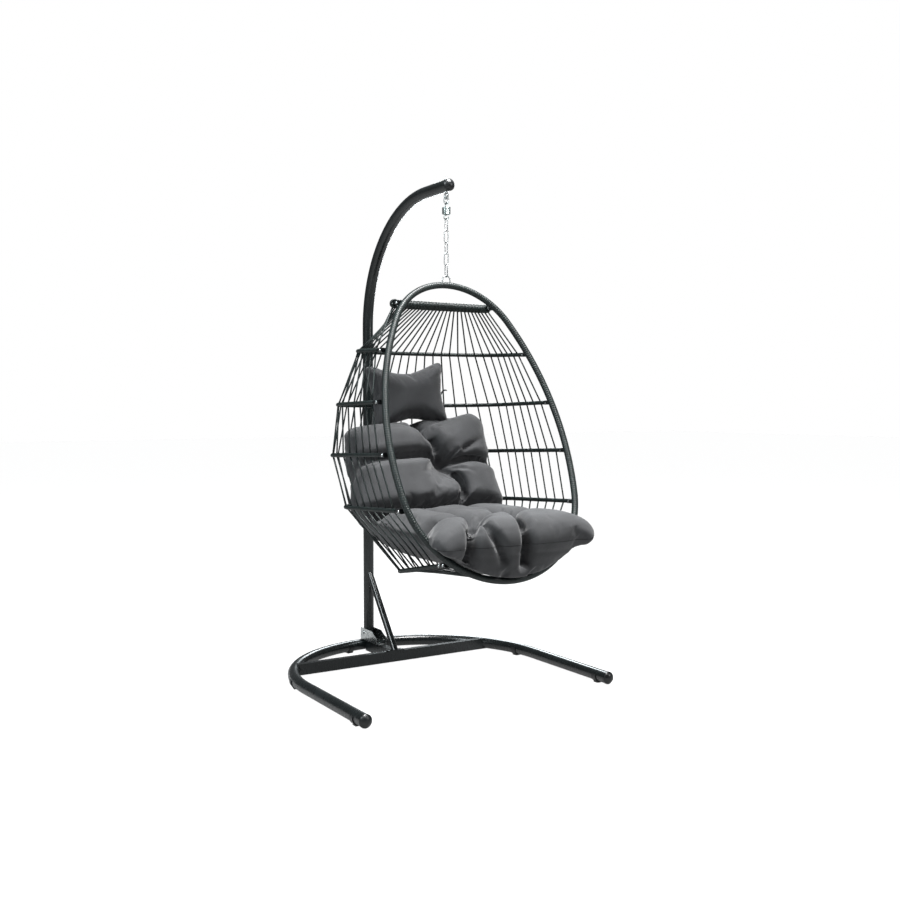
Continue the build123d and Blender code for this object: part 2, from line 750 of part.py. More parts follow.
# ---- lacing --------------------------------------------------------------------
def cord_points(entry):
    """Evenly spaced points where the cords cross a hoop, right to left, with its direction there."""
    margins = {hoop_table[0]: top_cord_margin, hoop_table[-1]: floor_cord_margin}
    margin = margins.get(entry, cord_margin)
    path = hoop_path(entry, 0)
    pitch = (path.length - 2 * margin) / (cord_count - 1)
    places = [margin + index * pitch for index in range(cord_count)]
    return [(path.position_at(at, PositionMode.LENGTH), path.tangent_at(at, PositionMode.LENGTH))
            for at in places]


def setback(along, tangent, tube_r):
    """Distance from a tube's axis at which a slanting cord's flat end clears the tube."""
    slant = abs(along.dot(tangent))
    return (tube_r + rest_gap + cord_r * slant) / math.sqrt(1 - slant**2)


def cord(start, end, start_r, end_r):
    """Taut straight length of cord between two tubes, each given as a point and a direction."""
    along = (end[0] - start[0]).normalized()
    first = start[0] + along * setback(along, start[1], start_r)
    last = end[0] - along * setback(along, end[1], end_r)
    return rod(first, last, cord_r).solid()


def lacing(upper, lower):
    """All the cords between one hoop and the next."""
    pairs = zip(cord_points(upper), cord_points(lower))
    return Compound([cord(start, end, hoop_wrap_r, hoop_wrap_r) for start, end in pairs])


def floor_hoop_point(x):
    """Point on the back of the floor hoop at a distance from the middle, with its direction."""
    entry = hoop_table[-1]
    back_r, arm = hoop_arcs(entry)
    corner = entry[3]
    side = hoop_half_width(entry) - corner
    if abs(x) <= back_r * math.sin(math.radians(entry[4])):
        back = entry[2] - back_r + math.sqrt(back_r**2 - x**2)
        slope = x / back_r
    else:
        back = arm + math.sqrt(corner**2 - (abs(x) - side)**2)
        slope = math.copysign((abs(x) - side) / corner, x)
    plane = hoop_plane(entry)
    tangent = plane.from_local_coords(Vector(math.sqrt(1 - slope**2), -slope, 0)) - plane.origin
    return plane.from_local_coords(Vector(x, back, 0)), tangent


def ring_bottom_end(x):
    """Point on the ring's lowest arc at a distance from the middle, with its direction."""
    slope = x / low_arc[1]
    flat = Vector(math.sqrt(1 - slope**2), 0, 0)
    fall = Vector(0, math.sin(lean), math.cos(lean)) * slope
    return ring_bottom_point(x), flat + fall


def floor_lacing():
    """Cords under the seat, from the floor hoop forward to the bottom of the ring."""
    cords = []
    for index in range(floor_cord_count):
        x = floor_cord_reach * (2 * index / (floor_cord_count - 1) - 1)
        cords.append(cord(floor_hoop_point(x), ring_bottom_end(x), hoop_wrap_r, ring_wrap_r))
    return Compound(cords)


# ---- cushions ------------------------------------------------------------------
seat_low_z = ring_bottom_point(0).Z + ring_wrap_r + rest_gap


def mirrored_outline(half):
    """Face with the given right half, which starts and ends on the middle line."""
    left = [(-x, y) for x, y in half[::-1] if x]
    return make_face(Polyline(*half, *left, close=True))


def seat_cushion():
    """One soft cushion, folded into a seat and a backrest."""
    top_z = seat_low_z + seat_thick
    half = []
    for share in (0, 0.35, 0.7, 1):
        x = share * seat_low_half_width
        slant = math.sqrt(1 - (x / low_arc[1])**2)
        half.append((x, ring_bottom_point(x).Z + (ring_wrap_r + rest_gap) / slant))
    half += [(seat_mid_half_width, seat_low_z + 1.5 * seat_mid_rise),
             (seat_top_half_width, top_z - seat_mid_rise / 2), (seat_mid_half_width, top_z), (0, top_z)]
    front = Plane(origin=(0, seat_front_y, 0), x_dir=(1, 0, 0), z_dir=(0, -1, 0))
    seat = extrude(front * mirrored_outline(half), -(seat_front + seat_back))
    side = [(hang_y + back, seat_low_z + up) for back, up in backrest_side]
    rest = extrude(Plane.YZ * make_face(Polyline(*side, close=True)), ring_length, both=True)
    plan = [(x, hang_y + back) for x, back in backrest_plan]
    block = extrude(mirrored_outline(plan), 2 * ring_top_z)
    sides = [(x, seat_low_z + up) for x, up in backrest_front]
    wall = Plane.XZ * extrude(mirrored_outline(sides), 2 * ring_top_z, both=True)
    return seat + (rest & block & wall)


def pillow():
    """Head pillow, on top of the backrest."""
    top_of_rest = seat_low_z + max(up for back, up in backrest_side)
    low = (Align.CENTER, Align.MAX, Align.MIN)
    body = Box(pillow_width, pillow_thick, pillow_height, align=low)
    body = fillet(body.edges(), pillow_edge)
    return Location((0, hang_y + pillow_back, top_of_rest + rest_gap)) * body


def strap(x):
    """Flat webbing strap from the pillow's back round the hoop behind it."""
    entry = hoop_table[2]
    back_r = hoop_arcs(entry)[0]
    back = entry[2] - back_r + math.sqrt(back_r**2 - x**2)
    hoop_point = hoop_plane(entry).from_local_coords(Vector(x, back, 0))
    inner = hoop_wrap_r + strap_slack
    outer = inner + strap_thick
    start = hang_y + pillow_back + rest_gap
    sides = Box(strap_width, 2 * outer, 2 * outer) - Box(strap_width, 2 * inner, 2 * inner)
    sides = Location((hoop_point.X, hoop_point.Y, hoop_point.Z)) * sides
    front = Box(strap_width, 2 * outer, 2 * inner)
    sides = sides - Location((hoop_point.X, hoop_point.Y - outer, hoop_point.Z)) * front
    length = hoop_point.Y - start
    run = Box(strap_width, length, strap_thick, align=(Align.CENTER, Align.MIN, Align.CENTER))
    for side in (1, -1):
        rise = side * (inner + strap_thick / 2)
        sides = sides + Location((hoop_point.X, start, hoop_point.Z + rise)) * run
    return sides


def pillow_straps():
    """Two straps, each between two cords."""
    points = cord_points(hoop_table[2])
    middle = cord_count // 2
    near = middle - int(strap_cord)
    x = (points[near][0].X + points[near - 1][0].X) / 2
    return both_sides(strap(x))


if __name__ == "__main__":
    os.makedirs("parts", exist_ok=True)
    save("base_arc", base_arc())
    save("left_leg", mirror(leg(), Plane.YZ))
    save("right_leg", leg())
    save("leg_end_caps", both_sides(leg_cap()))
    save("floor_feet", floor_feet())
    save("base_crossbar", crossbar())
    save("base_spine", spine())
    save("mast_lower", mast_lower())
    save("mast_upper", mast_upper())
    save("mast_joint_screw", joint_screw())
    save("mast_bracket", mast_bracket())
    save("bracket_bolts", bracket_bolts())
    save("bracket_nut", bracket_nut())
    save("mast_strut", mast_strut())
    save("strut_plate", strut_plate_shape())
    save("strut_screws", strut_screws())
    save("arm_end_cap", arm_cap())
    save("eye_bolt", eye_bolt())
    save("eye_washer", eye_washer())
    save("eye_nut", eye_nut())
    save("top_hook", top_hook())
    save("extension_spring", spring())
    for number in range(link_count):
        save(f"chain_link_{number + 1}", link(number))
    save("shackle", shackle())
    save("front_ring", front_ring())
    save("ring_wrap", ring_wrap())
    for row in hoop_table:
        save(row[0], hoop(row))
    save("hoop_wraps", Compound([hoop_skin(row).solid() for row in hoop_table]))
    save("hoop_sleeves", both_sides(Compound([sleeve(row).solid() for row in hoop_table])))
    save("hoop_bolts", right_hand_bolts(hoop_bolt))
    save("hoop_nuts", right_hand_bolts(hoop_nut))
    for upper, lower in zip(hoop_table, hoop_table[1:]):
        save(f"lacing_{lower[0]}", lacing(upper, lower))
    save("lacing_floor", floor_lacing())
    save("seat_cushion", seat_cushion())
    save("head_pillow", pillow())
    save("pillow_straps", pillow_straps())
    print("ring top", round(ring_top_z, 1), "ring length", round(ring_length, 1))
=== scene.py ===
"""Hanging egg chair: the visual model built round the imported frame."""

import json
import logging
import math
from dataclasses import dataclass, field
from enum import Enum
from typing import Iterable, Sequence

import bpy
import numpy as np
from mathutils import Matrix, Vector
from mathutils.kdtree import KDTree


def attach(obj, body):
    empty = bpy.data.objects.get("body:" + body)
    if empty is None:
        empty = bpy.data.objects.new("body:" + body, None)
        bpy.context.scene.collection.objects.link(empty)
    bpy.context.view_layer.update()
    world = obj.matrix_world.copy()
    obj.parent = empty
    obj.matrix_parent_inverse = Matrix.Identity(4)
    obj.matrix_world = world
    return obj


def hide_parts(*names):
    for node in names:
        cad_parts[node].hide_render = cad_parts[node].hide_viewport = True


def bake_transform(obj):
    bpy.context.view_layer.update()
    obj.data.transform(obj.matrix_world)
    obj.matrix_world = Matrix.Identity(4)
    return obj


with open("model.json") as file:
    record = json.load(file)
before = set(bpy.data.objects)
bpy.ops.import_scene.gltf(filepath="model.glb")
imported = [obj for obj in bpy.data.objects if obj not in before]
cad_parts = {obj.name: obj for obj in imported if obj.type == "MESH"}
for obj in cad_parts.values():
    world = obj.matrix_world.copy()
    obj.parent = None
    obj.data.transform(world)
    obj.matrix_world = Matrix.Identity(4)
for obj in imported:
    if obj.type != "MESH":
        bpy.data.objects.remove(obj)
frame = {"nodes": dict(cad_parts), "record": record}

log = logging.getLogger("egg_chair")

MM = 0.001
UP = np.array((0.0, 0.0, 1.0))
HANG = np.array((0.0, -0.10575, 0.0))  # the chain's line, in plan
Colour = tuple[float, float, float]


# ---- shader expressions ---------------------------------------------------------
class Socket:
    """An output of a shader node, with arithmetic that adds Math nodes."""

    def __init__(self, shader: "Shader", link: bpy.types.NodeSocket) -> None:
        """Wrap a node output."""
        self.shader = shader
        self.link = link

    def math(self, operation: str, *others: "Socket | float") -> "Socket":
        """Add a Math node."""
        values = dict(enumerate((self, *others)))
        return self.shader.node("ShaderNodeMath", {"operation": operation}, values)

    def __add__(self, other: "Socket | float") -> "Socket":
        """Sum."""
        return self.math("ADD", other)

    def __mul__(self, other: "Socket | float") -> "Socket":
        """Product."""
        return self.math("MULTIPLY", other)

    def ramp(self, low: float, high: float) -> "Socket":
        """Scale so that low gives 0 and high gives 1, clamped."""
        values = {"Value": self, "From Min": low, "From Max": high}
        return self.shader.node("ShaderNodeMapRange", {"clamp": True}, values)


class Shader:
    """A material's node tree with a principled surface."""

    def __init__(self, name: str) -> None:
        """Start an empty material.

        Args:
            name: The material's name.
        """
        self.material = bpy.data.materials.new(name)
        self.material.use_nodes = True
        self.tree = self.material.node_tree
        self.tree.nodes.clear()
        output = self.tree.nodes.new("ShaderNodeOutputMaterial")
        self.surface = self.tree.nodes.new("ShaderNodeBsdfPrincipled")
        self.tree.links.new(self.surface.outputs[0], output.inputs[0])

    def node(self, kind: str, settings: dict, values: dict, output: int | str = 0) -> Socket:
        """Add any node.

        Args:
            kind: The node's type.
            settings: Properties to set first, such as an operation.
            values: Input names or numbers with a value or a socket.
            output: Name or number of the output that is wanted.

        Returns:
            The wanted output.
        """
        made = self.tree.nodes.new(kind)
        for key, value in settings.items():
            setattr(made, key, value)
        for key, value in values.items():
            self.feed(made.inputs[key], value)
        return Socket(self, made.outputs[output])

    def feed(self, target: bpy.types.NodeSocket, value: "Socket | float | Sequence") -> None:
        """Link or set one input.

        Args:
            target: The input.
            value: A socket to link, or a value to set.
        """
        if isinstance(value, Socket):
            self.tree.links.new(value.link, target)
        elif isinstance(value, tuple) and target.type == "RGBA":
            target.default_value = (*value[:3], 1.0)
        else:
            target.default_value = value

    def set(self, **values: "Socket | float | Sequence") -> None:
        """Set inputs of the principled surface, with underscores for spaces."""
        for key, value in values.items():
            self.feed(self.surface.inputs[key.replace("_", " ")], value)

    def place(self) -> Socket:
        """The point's own coordinates, in metres."""
        return self.node("ShaderNodeTexCoord", {}, {}, "Object")

    def run(self) -> Socket:
        """The stored vector: metres along a wound piece, turns round it and strand number."""
        settings = {"attribute_name": "run", "attribute_type": "GEOMETRY"}
        return self.node("ShaderNodeAttribute", settings, {}, "Vector")

    def scaled(self, vector: Socket, scale: Sequence[float]) -> Socket:
        """A vector multiplied part by part."""
        settings = {"operation": "MULTIPLY"}
        return self.node("ShaderNodeVectorMath", settings, {0: vector, 1: tuple(scale)})

    def part(self, vector: Socket, axis: str) -> Socket:
        """One part of a vector."""
        return self.node("ShaderNodeSeparateXYZ", {}, {0: vector}, axis)

    def noise(self, vector: Socket, scale: float, detail: float = 2.0) -> Socket:
        """Soft noise from 0 to 1."""
        values = {"Vector": vector, "Scale": scale, "Detail": detail}
        return self.node("ShaderNodeTexNoise", {}, values, 0)

    def mix(self, factor: "Socket | float", low: "Socket | Colour", high: "Socket | Colour") -> Socket:
        """Blend two colours."""
        values = {0: factor, 6: low, 7: high}
        return self.node("ShaderNodeMix", {"data_type": "RGBA"}, values, 2)

    def bump(self, height: Socket, depth: float, after: Socket | None = None) -> Socket:
        """Feed a height to the surface's normal.

        Args:
            height: The height, from 0 to 1.
            depth: Height of 1, in metres.
            after: An earlier bump to add to.

        Returns:
            The bumped normal.
        """
        values: dict = {"Height": height, "Distance": depth}
        if after:
            values["Normal"] = after
        normal = self.node("ShaderNodeBump", {}, values)
        self.set(Normal=normal)
        return normal


# ---- finishes -------------------------------------------------------------------
@dataclass(frozen=True)
class PowderCoat:
    """Semi-gloss powder coat over steel tube, with a faint orange peel."""

    name: str = "black_powder_coat"
    colour: Colour = (0.0035, 0.0055, 0.0058)
    dusty: Colour = (0.011, 0.0155, 0.016)
    roughness: float = 0.27
    peel: float = 650.0

    def material(self) -> bpy.types.Material:
        """Build the material."""
        shader = Shader(self.name)
        place = shader.place()
        cloud = shader.noise(place, 9.0, 4.0)
        scuff = shader.noise(shader.scaled(place, (1.0, 1.0, 0.25)), 90.0, 6.0)
        mask = (cloud * scuff).ramp(0.22, 0.55)
        shader.set(
            Base_Color=shader.mix(mask, self.colour, self.dusty),
            Roughness=mask * 0.16 + self.roughness,
            Coat_Weight=0.35,
            Coat_Roughness=0.18,
            Specular_IOR_Level=0.5,
        )
        shader.bump(shader.noise(place, self.peel, 1.0), 0.00006)
        return shader.material


@dataclass(frozen=True)
class Plated:
    """Bright plated steel, slightly cloudy, with fine drawing lines."""

    name: str
    colour: Colour = (0.70, 0.72, 0.72)
    dull: Colour = (0.36, 0.39, 0.39)
    roughness: float = 0.16

    def material(self) -> bpy.types.Material:
        """Build the material."""
        shader = Shader(self.name)
        place = shader.place()
        cloud = shader.noise(place, 140.0, 5.0).ramp(0.36, 0.72)
        lines = shader.noise(shader.scaled(place, (1.0, 1.0, 9.0)), 420.0, 2.0)
        shader.set(
            Base_Color=shader.mix(cloud, self.colour, self.dull),
            Metallic=1.0,
            Roughness=cloud * 0.2 + self.roughness,
        )
        shader.bump(lines, 0.00004)
        return shader.material


@dataclass(frozen=True)
class MouldedPlastic:
    """Moulded black plastic with a fine spark texture."""

    name: str = "black_plastic"
    colour: Colour = (0.004, 0.005, 0.0055)
    worn: Colour = (0.014, 0.016, 0.017)

    def material(self) -> bpy.types.Material:
        """Build the material."""
        shader = Shader(self.name)
        place = shader.place()
        cloud = shader.noise(place, 45.0, 4.0).ramp(0.45, 0.8)
        shader.set(
            Base_Color=shader.mix(cloud, self.colour, self.worn),
            Roughness=cloud * 0.2 + 0.28,
        )
        shader.bump(shader.noise(place, 1500.0, 1.0), 0.00004)
        return shader.material


@dataclass(frozen=True)
class Wicker:
    """Extruded resin strand with fine grooves that run along it."""

    name: str
    colour: Colour = (0.0014, 0.0034, 0.0032)
    light: Colour = (0.0085, 0.020, 0.0185)
    grooves: float = 5.0
    roughness: float = 0.36

    def material(self) -> bpy.types.Material:
        """Build the material."""
        shader = Shader(self.name)
        run = shader.run()
        grain = shader.noise(shader.scaled(run, (60.0, 9.0 * self.grooves, 7.0)), 1.0, 3.0)
        tone = shader.noise(shader.scaled(run, (9.0, 1.0, 31.7)), 1.0, 2.0).ramp(0.3, 0.75)
        around = shader.part(run, "Y") * (2 * math.pi * self.grooves)
        ridge = around.math("SINE") * 0.5 + 0.5
        mask = (grain * 0.55 + tone * 0.45).ramp(0.25, 0.85)
        shader.set(
            Base_Color=shader.mix(mask, self.colour, self.light),
            Roughness=grain * 0.2 + self.roughness,
            Specular_IOR_Level=0.5,
        )
        shader.bump(ridge * 0.6 + grain * 0.4, 0.00022)
        return shader.material


class Weave(Enum):
    """How a cloth is woven."""

    PLAIN = "plain"
    RIBBED = "ribbed"


@dataclass(frozen=True)
class Cloth:
    """Woven polyester with a slight slub, soft sheen and a fine thread relief."""

    name: str
    colour: Colour
    light: Colour
    weave: Weave = Weave.PLAIN
    threads: float = 1250.0
    roughness: float = 0.72

    def material(self) -> bpy.types.Material:
        """Build the material."""
        shader = Shader(self.name)
        place = shader.place()
        waves = []
        for axis in "XYZ":
            along = shader.part(place, axis) * (2 * math.pi * self.threads / 2)
            waves.append(along.math("SINE"))
        thread = waves[0] * waves[2] + waves[1] * waves[2]
        if self.weave is Weave.RIBBED:
            thread = waves[2]
        thread = (thread * 0.25 + 0.5).ramp(0.0, 1.0)
        slub = shader.noise(shader.scaled(place, (1.0, 1.0, 6.0)), 240.0, 3.0)
        cloud = shader.noise(place, 13.0, 3.0).ramp(0.3, 0.72)
        mask = (cloud * 0.45 + slub * 0.35 + thread * 0.2).ramp(0.15, 0.85)
        shader.set(
            Base_Color=shader.mix(mask, self.colour, self.light),
            Roughness=slub * 0.12 + self.roughness,
            Sheen_Weight=0.25,
            Sheen_Roughness=0.45,
            Specular_IOR_Level=0.35,
        )
        fine = shader.bump(thread, 0.00012)
        shader.bump(slub, 0.00035, fine)
        return shader.material


class Finish(Enum):
    """The finishes of the chair, under the names of the record's slots."""

    POWDER_COAT = "black_powder_coat"
    ZINC = "zinc_plated_steel"
    SPRING = "spring_steel"
    WICKER = "wicker_wrap"
    CORD = "lacing_cord"
    PLASTIC = "black_plastic"
    CUSHION = "cushion_cloth"
    PILLOW = "pillow_cloth"
    WEBBING = "webbing"


@dataclass
class Palette:
    """Every finish of the chair, made once."""

    made: dict[Finish, bpy.types.Material] = field(default_factory=dict)

    def __post_init__(self) -> None:
        """Make each material."""
        recipes = {
            Finish.POWDER_COAT: PowderCoat(),
            Finish.ZINC: Plated("zinc_plated_steel"),
            Finish.SPRING: Plated("spring_steel", (0.62, 0.68, 0.67), (0.3, 0.36, 0.35), 0.2),
            Finish.WICKER: Wicker("wicker_wrap", grooves=1.0),
            Finish.CORD: Wicker("lacing_cord"),
            Finish.PLASTIC: MouldedPlastic(),
            Finish.CUSHION: Cloth("cushion_cloth", (0.032, 0.033, 0.035), (0.062, 0.063, 0.066)),
            Finish.PILLOW: Cloth("pillow_cloth", (0.022, 0.023, 0.025), (0.04, 0.041, 0.044)),
            Finish.WEBBING: Cloth(
                "webbing", (0.004, 0.0045, 0.005), (0.013, 0.014, 0.015), Weave.RIBBED, 900.0
            ),
        }
        for finish, recipe in recipes.items():
            self.made[finish] = recipe.material()

    def dress(self, piece: bpy.types.Object, finish: Finish) -> None:
        """Give a piece its finish.

        Args:
            piece: The mesh object.
            finish: The finish.
        """
        piece.data.materials.clear()
        piece.data.materials.append(self.made[finish])

    def hang(self, piece: bpy.types.Object, finish: Finish) -> None:
        """Dress a piece, let it ride with the basket and log it.

        Args:
            piece: The mesh object.
            finish: The finish.
        """
        self.dress(piece, finish)
        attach(piece, "basket")
        log.info("%s: %d faces", piece.name, len(piece.data.polygons))


# ---- mesh helpers ---------------------------------------------------------------
def mesh_object(
    name: str, points: np.ndarray, faces: Sequence, runs: np.ndarray | None = None
) -> bpy.types.Object:
    """Make a smooth mesh object.

    Args:
        name: The piece's name.
        points: Vertex places, in metres.
        faces: Vertex numbers of each face.
        runs: A vector kept at each vertex for the wound finishes.

    Returns:
        The object, linked to the scene.
    """
    mesh = bpy.data.meshes.new(name)
    mesh.from_pydata(np.asarray(points, float).tolist(), [], [list(face) for face in faces])
    mesh.validate()
    if runs is not None:
        kept = mesh.attributes.new("run", "FLOAT_VECTOR", "POINT")
        kept.data.foreach_set("vector", np.asarray(runs, np.float32).ravel())
    mesh.polygons.foreach_set("use_smooth", [True] * len(mesh.polygons))
    made = bpy.data.objects.new(name, mesh)
    bpy.context.scene.collection.objects.link(made)
    return made


def skin(start: int, rows: int, sides: int, closed: bool = False) -> list[tuple[int, ...]]:
    """Faces over rings of points, with a cap at both ends of an open line.

    Args:
        start: Number of the first point.
        rows: How many rings.
        sides: Points in each ring.
        closed: Whether the last ring meets the first.

    Returns:
        The faces.
    """
    faces = []
    for row in range(rows if closed else rows - 1):
        low, high = start + row * sides, start + (row + 1) % rows * sides
        for index in range(sides):
            after = (index + 1) % sides
            faces.append((low + index, low + after, high + after, high + index))
    if not closed:
        last = start + (rows - 1) * sides
        faces += [tuple(range(start, start + sides))[::-1], tuple(range(last, last + sides))]
    return faces


def unit(vectors: np.ndarray) -> np.ndarray:
    """Vectors of length one, along the last axis."""
    return vectors / np.maximum(np.linalg.norm(vectors, axis=-1, keepdims=True), 1e-12)


def smooth_line(points: np.ndarray, spacing: float) -> np.ndarray:
    """A smooth curve through points.

    Args:
        points: The points, at least two.
        spacing: Distance between the curve's points.

    Returns:
        Evenly spaced points on the curve.
    """
    points = np.asarray(points, float)
    ends = (2 * points[0] - points[1], 2 * points[-1] - points[-2])
    held = np.vstack((ends[0], points, ends[1]))
    curve = []
    steps = np.linspace(0, 1, 12, endpoint=False)[:, None]
    for a, b, c, d in zip(held, held[1:], held[2:], held[3:]):
        curve.append(
            0.5
            * (
                2 * b
                + (c - a) * steps
                + (2 * a - 5 * b + 4 * c - d) * steps**2
                + (3 * b - 3 * c + d - a) * steps**3
            )
        )
    return respaced(np.vstack((*curve, points[-1:])), spacing)


def respaced(points: np.ndarray, spacing: float) -> np.ndarray:
    """The same line with evenly spaced points.

    Args:
        points: Points of a line.
        spacing: Distance that is wanted.

    Returns:
        The new points, ends included.
    """
    steps = np.linalg.norm(np.diff(points, axis=0), axis=1)
    gone = np.concatenate(((0.0,), np.cumsum(steps)))
    places = np.linspace(0, gone[-1], max(2, int(round(gone[-1] / spacing)) + 1))
    return np.stack([np.interp(places, gone, points[:, axis]) for axis in range(3)], 1)


@dataclass
class Strands:
    """Round strands gathered into one mesh."""

    radius: float
    sides: int = 8
    points: list = field(default_factory=list)
    faces: list = field(default_factory=list)
    runs: list = field(default_factory=list)
    count: int = 0

    def add(self, line: np.ndarray, closed: bool = False) -> None:
        """Add one strand along a line.

        Args:
            line: Points of its centre line.
            closed: Whether its ends meet.
        """
        line = np.asarray(line, float)
        size = len(line)
        ahead = unit(np.roll(line, -1, 0) - np.roll(line, 1, 0))
        if not closed:
            ahead[0], ahead[-1] = unit(line[1] - line[0]), unit(line[-1] - line[-2])
        side = unit(np.cross(ahead[0], UP + (0.013, 0.029, 0.0)))
        start = len(self.points)
        gone = 0.0
        turns = np.arange(self.sides) / self.sides
        for index in range(size):
            side = unit(side - ahead[index] * np.dot(side, ahead[index]))
            other = np.cross(ahead[index], side)
            gone += np.linalg.norm(line[index] - line[index - 1]) if index else 0.0
            for turn in turns:
                angle = 2 * math.pi * turn
                offset = side * math.cos(angle) + other * math.sin(angle)
                self.points.append(line[index] + offset * self.radius)
                self.runs.append((gone, turn, self.count * 0.37))
        self.faces += skin(start, size, self.sides, closed)
        self.count += 1

    def build(self, name: str) -> bpy.types.Object:
        """Make the object."""
        return mesh_object(name, np.array(self.points), self.faces, np.array(self.runs))


@dataclass(frozen=True)
class FlatPath:
    """A line of arcs and straights in a plane."""

    origin: np.ndarray
    along_x: np.ndarray
    along_y: np.ndarray
    start: tuple[float, float]
    heading: float
    steps: tuple[tuple[float, float], ...]
    spacing: float = 0.002

    def samples(self) -> tuple[np.ndarray, np.ndarray, np.ndarray]:
        """Trace the line.

        Returns:
            Distance, flat place and flat heading at closely spaced points.
        """
        x, y = self.start
        heading, gone = math.radians(self.heading), 0.0
        rows = [(gone, x, y, heading)]
        for radius, turn in self.steps:
            length = abs(radius * math.radians(turn)) if radius else turn
            bend = math.radians(turn) / length if radius else 0.0
            count = max(1, round(length / self.spacing))
            for share in np.arange(1, count + 1) / count:
                done = share * length
                if bend:
                    angle = heading + bend * done
                    far_x = x + (math.sin(angle) - math.sin(heading)) / bend
                    far_y = y - (math.cos(angle) - math.cos(heading)) / bend
                else:
                    angle = heading
                    far_x = x + math.cos(heading) * done
                    far_y = y + math.sin(heading) * done
                rows.append((gone + done, far_x, far_y, angle))
            gone, x, y, heading = rows[-1]
        table = np.array(rows)
        return table[:, 0], table[:, 1:3], table[:, 3]

    def length(self) -> float:
        """Its length in metres."""
        return float(self.samples()[0][-1])

    def at(self, places: np.ndarray) -> tuple[np.ndarray, np.ndarray, np.ndarray, np.ndarray]:
        """Points and directions at distances along the line.

        Args:
            places: Distances from the start.

        Returns:
            Points, directions ahead, directions to the right, and the plane's normal.
        """
        gone, flat, heading = self.samples()
        x = np.interp(places, gone, flat[:, 0])
        y = np.interp(places, gone, flat[:, 1])
        angle = np.interp(places, gone, heading)
        ahead = np.cos(angle)[:, None] * self.along_x + np.sin(angle)[:, None] * self.along_y
        right = np.sin(angle)[:, None] * self.along_x - np.cos(angle)[:, None] * self.along_y
        points = self.origin + x[:, None] * self.along_x + y[:, None] * self.along_y
        normal = np.broadcast_to(np.cross(self.along_x, self.along_y), points.shape)
        return points, ahead, right, normal


@dataclass(frozen=True)
class Winding:
    """A flat strip wound round a tube, edge to edge."""

    radius: float
    groove: float = 0.9 * MM
    pitch: float = 8.5 * MM
    sides: int = 18
    profile: tuple[tuple[float, float], ...] = ((0.0, 1.0), (0.08, 0.3), (0.22, 0.0), (0.5, 0.0),
                                                (0.78, 0.06), (0.93, 0.4))

    def add(self, path: FlatPath, closed: bool, into: dict) -> None:
        """Wind the strip along a path.

        Args:
            path: The tube's centre line.
            closed: Whether the line closes on itself.
            into: Lists of points, faces and runs that take the mesh.
        """
        length = path.length()
        turns = round(length / self.pitch)
        pitch = length / turns
        columns = len(self.profile)
        count = turns * columns if closed else (turns - 1) * columns
        turn_of, column = np.divmod(np.arange(count), columns)
        offsets, drops = np.array(self.profile).T[:, column]
        starts = turn_of + offsets
        base = len(into["points"])
        for side in range(self.sides):
            places = (starts + side / self.sides) * pitch
            if closed:
                places = places % length
            point, _, right, normal = path.at(places)
            angle = 2 * math.pi * side / self.sides
            radius = (self.radius - drops * self.groove)[:, None]
            ring = point + radius * (right * math.cos(angle) + normal * math.sin(angle))
            into["points"].extend(ring.tolist())
            along = (np.floor(starts) + side / self.sides) * 2 * math.pi * self.radius
            into["runs"].extend(np.stack((along, starts % 1.0, starts // 1 * 0.01), 1).tolist())
        for side in range(self.sides):
            last = side == self.sides - 1
            ahead = columns if last else 0
            low, high = base + side * count, base + (0 if last else side + 1) * count
            for index in range(count if closed else count - 1 - ahead):
                over = index + ahead
                into["faces"].append((low + index, high + over % count,
                                      high + (over + 1) % count, low + (index + 1) % count))


# ---- basket frame ---------------------------------------------------------------
@dataclass(frozen=True)
class Ring:
    """The leaning oval front ring."""

    top: float = 1.5483
    lean: float = math.radians(22.3)
    arcs: tuple[tuple[float, float], ...] = ((0.282, 61.4), (1.117, 37.5), (0.355, 30.4))
    wrap: float = 12.5 * MM
    lug_reach: float = 34.0 * MM

    def down(self) -> np.ndarray:
        """Direction down the ring's plane."""
        return np.array((0.0, -math.sin(self.lean), -math.cos(self.lean)))

    def origin(self) -> np.ndarray:
        """Top of its centre line."""
        return HANG + UP * self.top

    def corners(self) -> list[tuple[tuple[float, float], float, float, float]]:
        """Centre, radius and first and last heading of each arc of the right half."""
        found = []
        x, down, heading = 0.0, 0.0, 0.0
        for radius, turn in self.arcs:
            centre = (x - radius * math.sin(heading), down + radius * math.cos(heading))
            last = heading + math.radians(turn)
            found.append((centre, radius, heading, last))
            x = centre[0] + radius * math.sin(last)
            down = centre[1] - radius * math.cos(last)
            heading = last
        low = x / math.sin(heading)
        found.append(((0.0, down + low * math.cos(heading)), low, heading, math.pi))
        return found

    def half_width(self, down: float) -> float:
        """Half its width at a distance down its plane.

        Args:
            down: Distance from the top.

        Returns:
            The half width.
        """
        for centre, radius, _, last in self.corners():
            if down <= centre[1] - radius * math.cos(last):
                return centre[0] + math.sqrt(radius**2 - (down - centre[1]) ** 2)
        return 0.0

    def point(self, x: float, down: float) -> np.ndarray:
        """A point of its plane."""
        return self.origin() + self.down() * down + np.array((x, 0.0, 0.0))

    def bottom(self, x: float) -> np.ndarray:
        """Point on the lowest arc's centre line."""
        centre, radius = self.corners()[-1][:2]
        return self.point(x, centre[1] + math.sqrt(radius**2 - x**2))

    def path(self) -> FlatPath:
        """Its closed centre line, clockwise from the top."""
        side = [(radius, -turn) for radius, turn in self.arcs]
        low = self.corners()[-1]
        turn = math.degrees(math.pi - low[2])
        steps = (*side, (low[1], -2 * turn), *side[::-1])
        return FlatPath(self.origin(), np.array((1.0, 0.0, 0.0)), -self.down(), (0.0, 0.0), 0.0, steps)


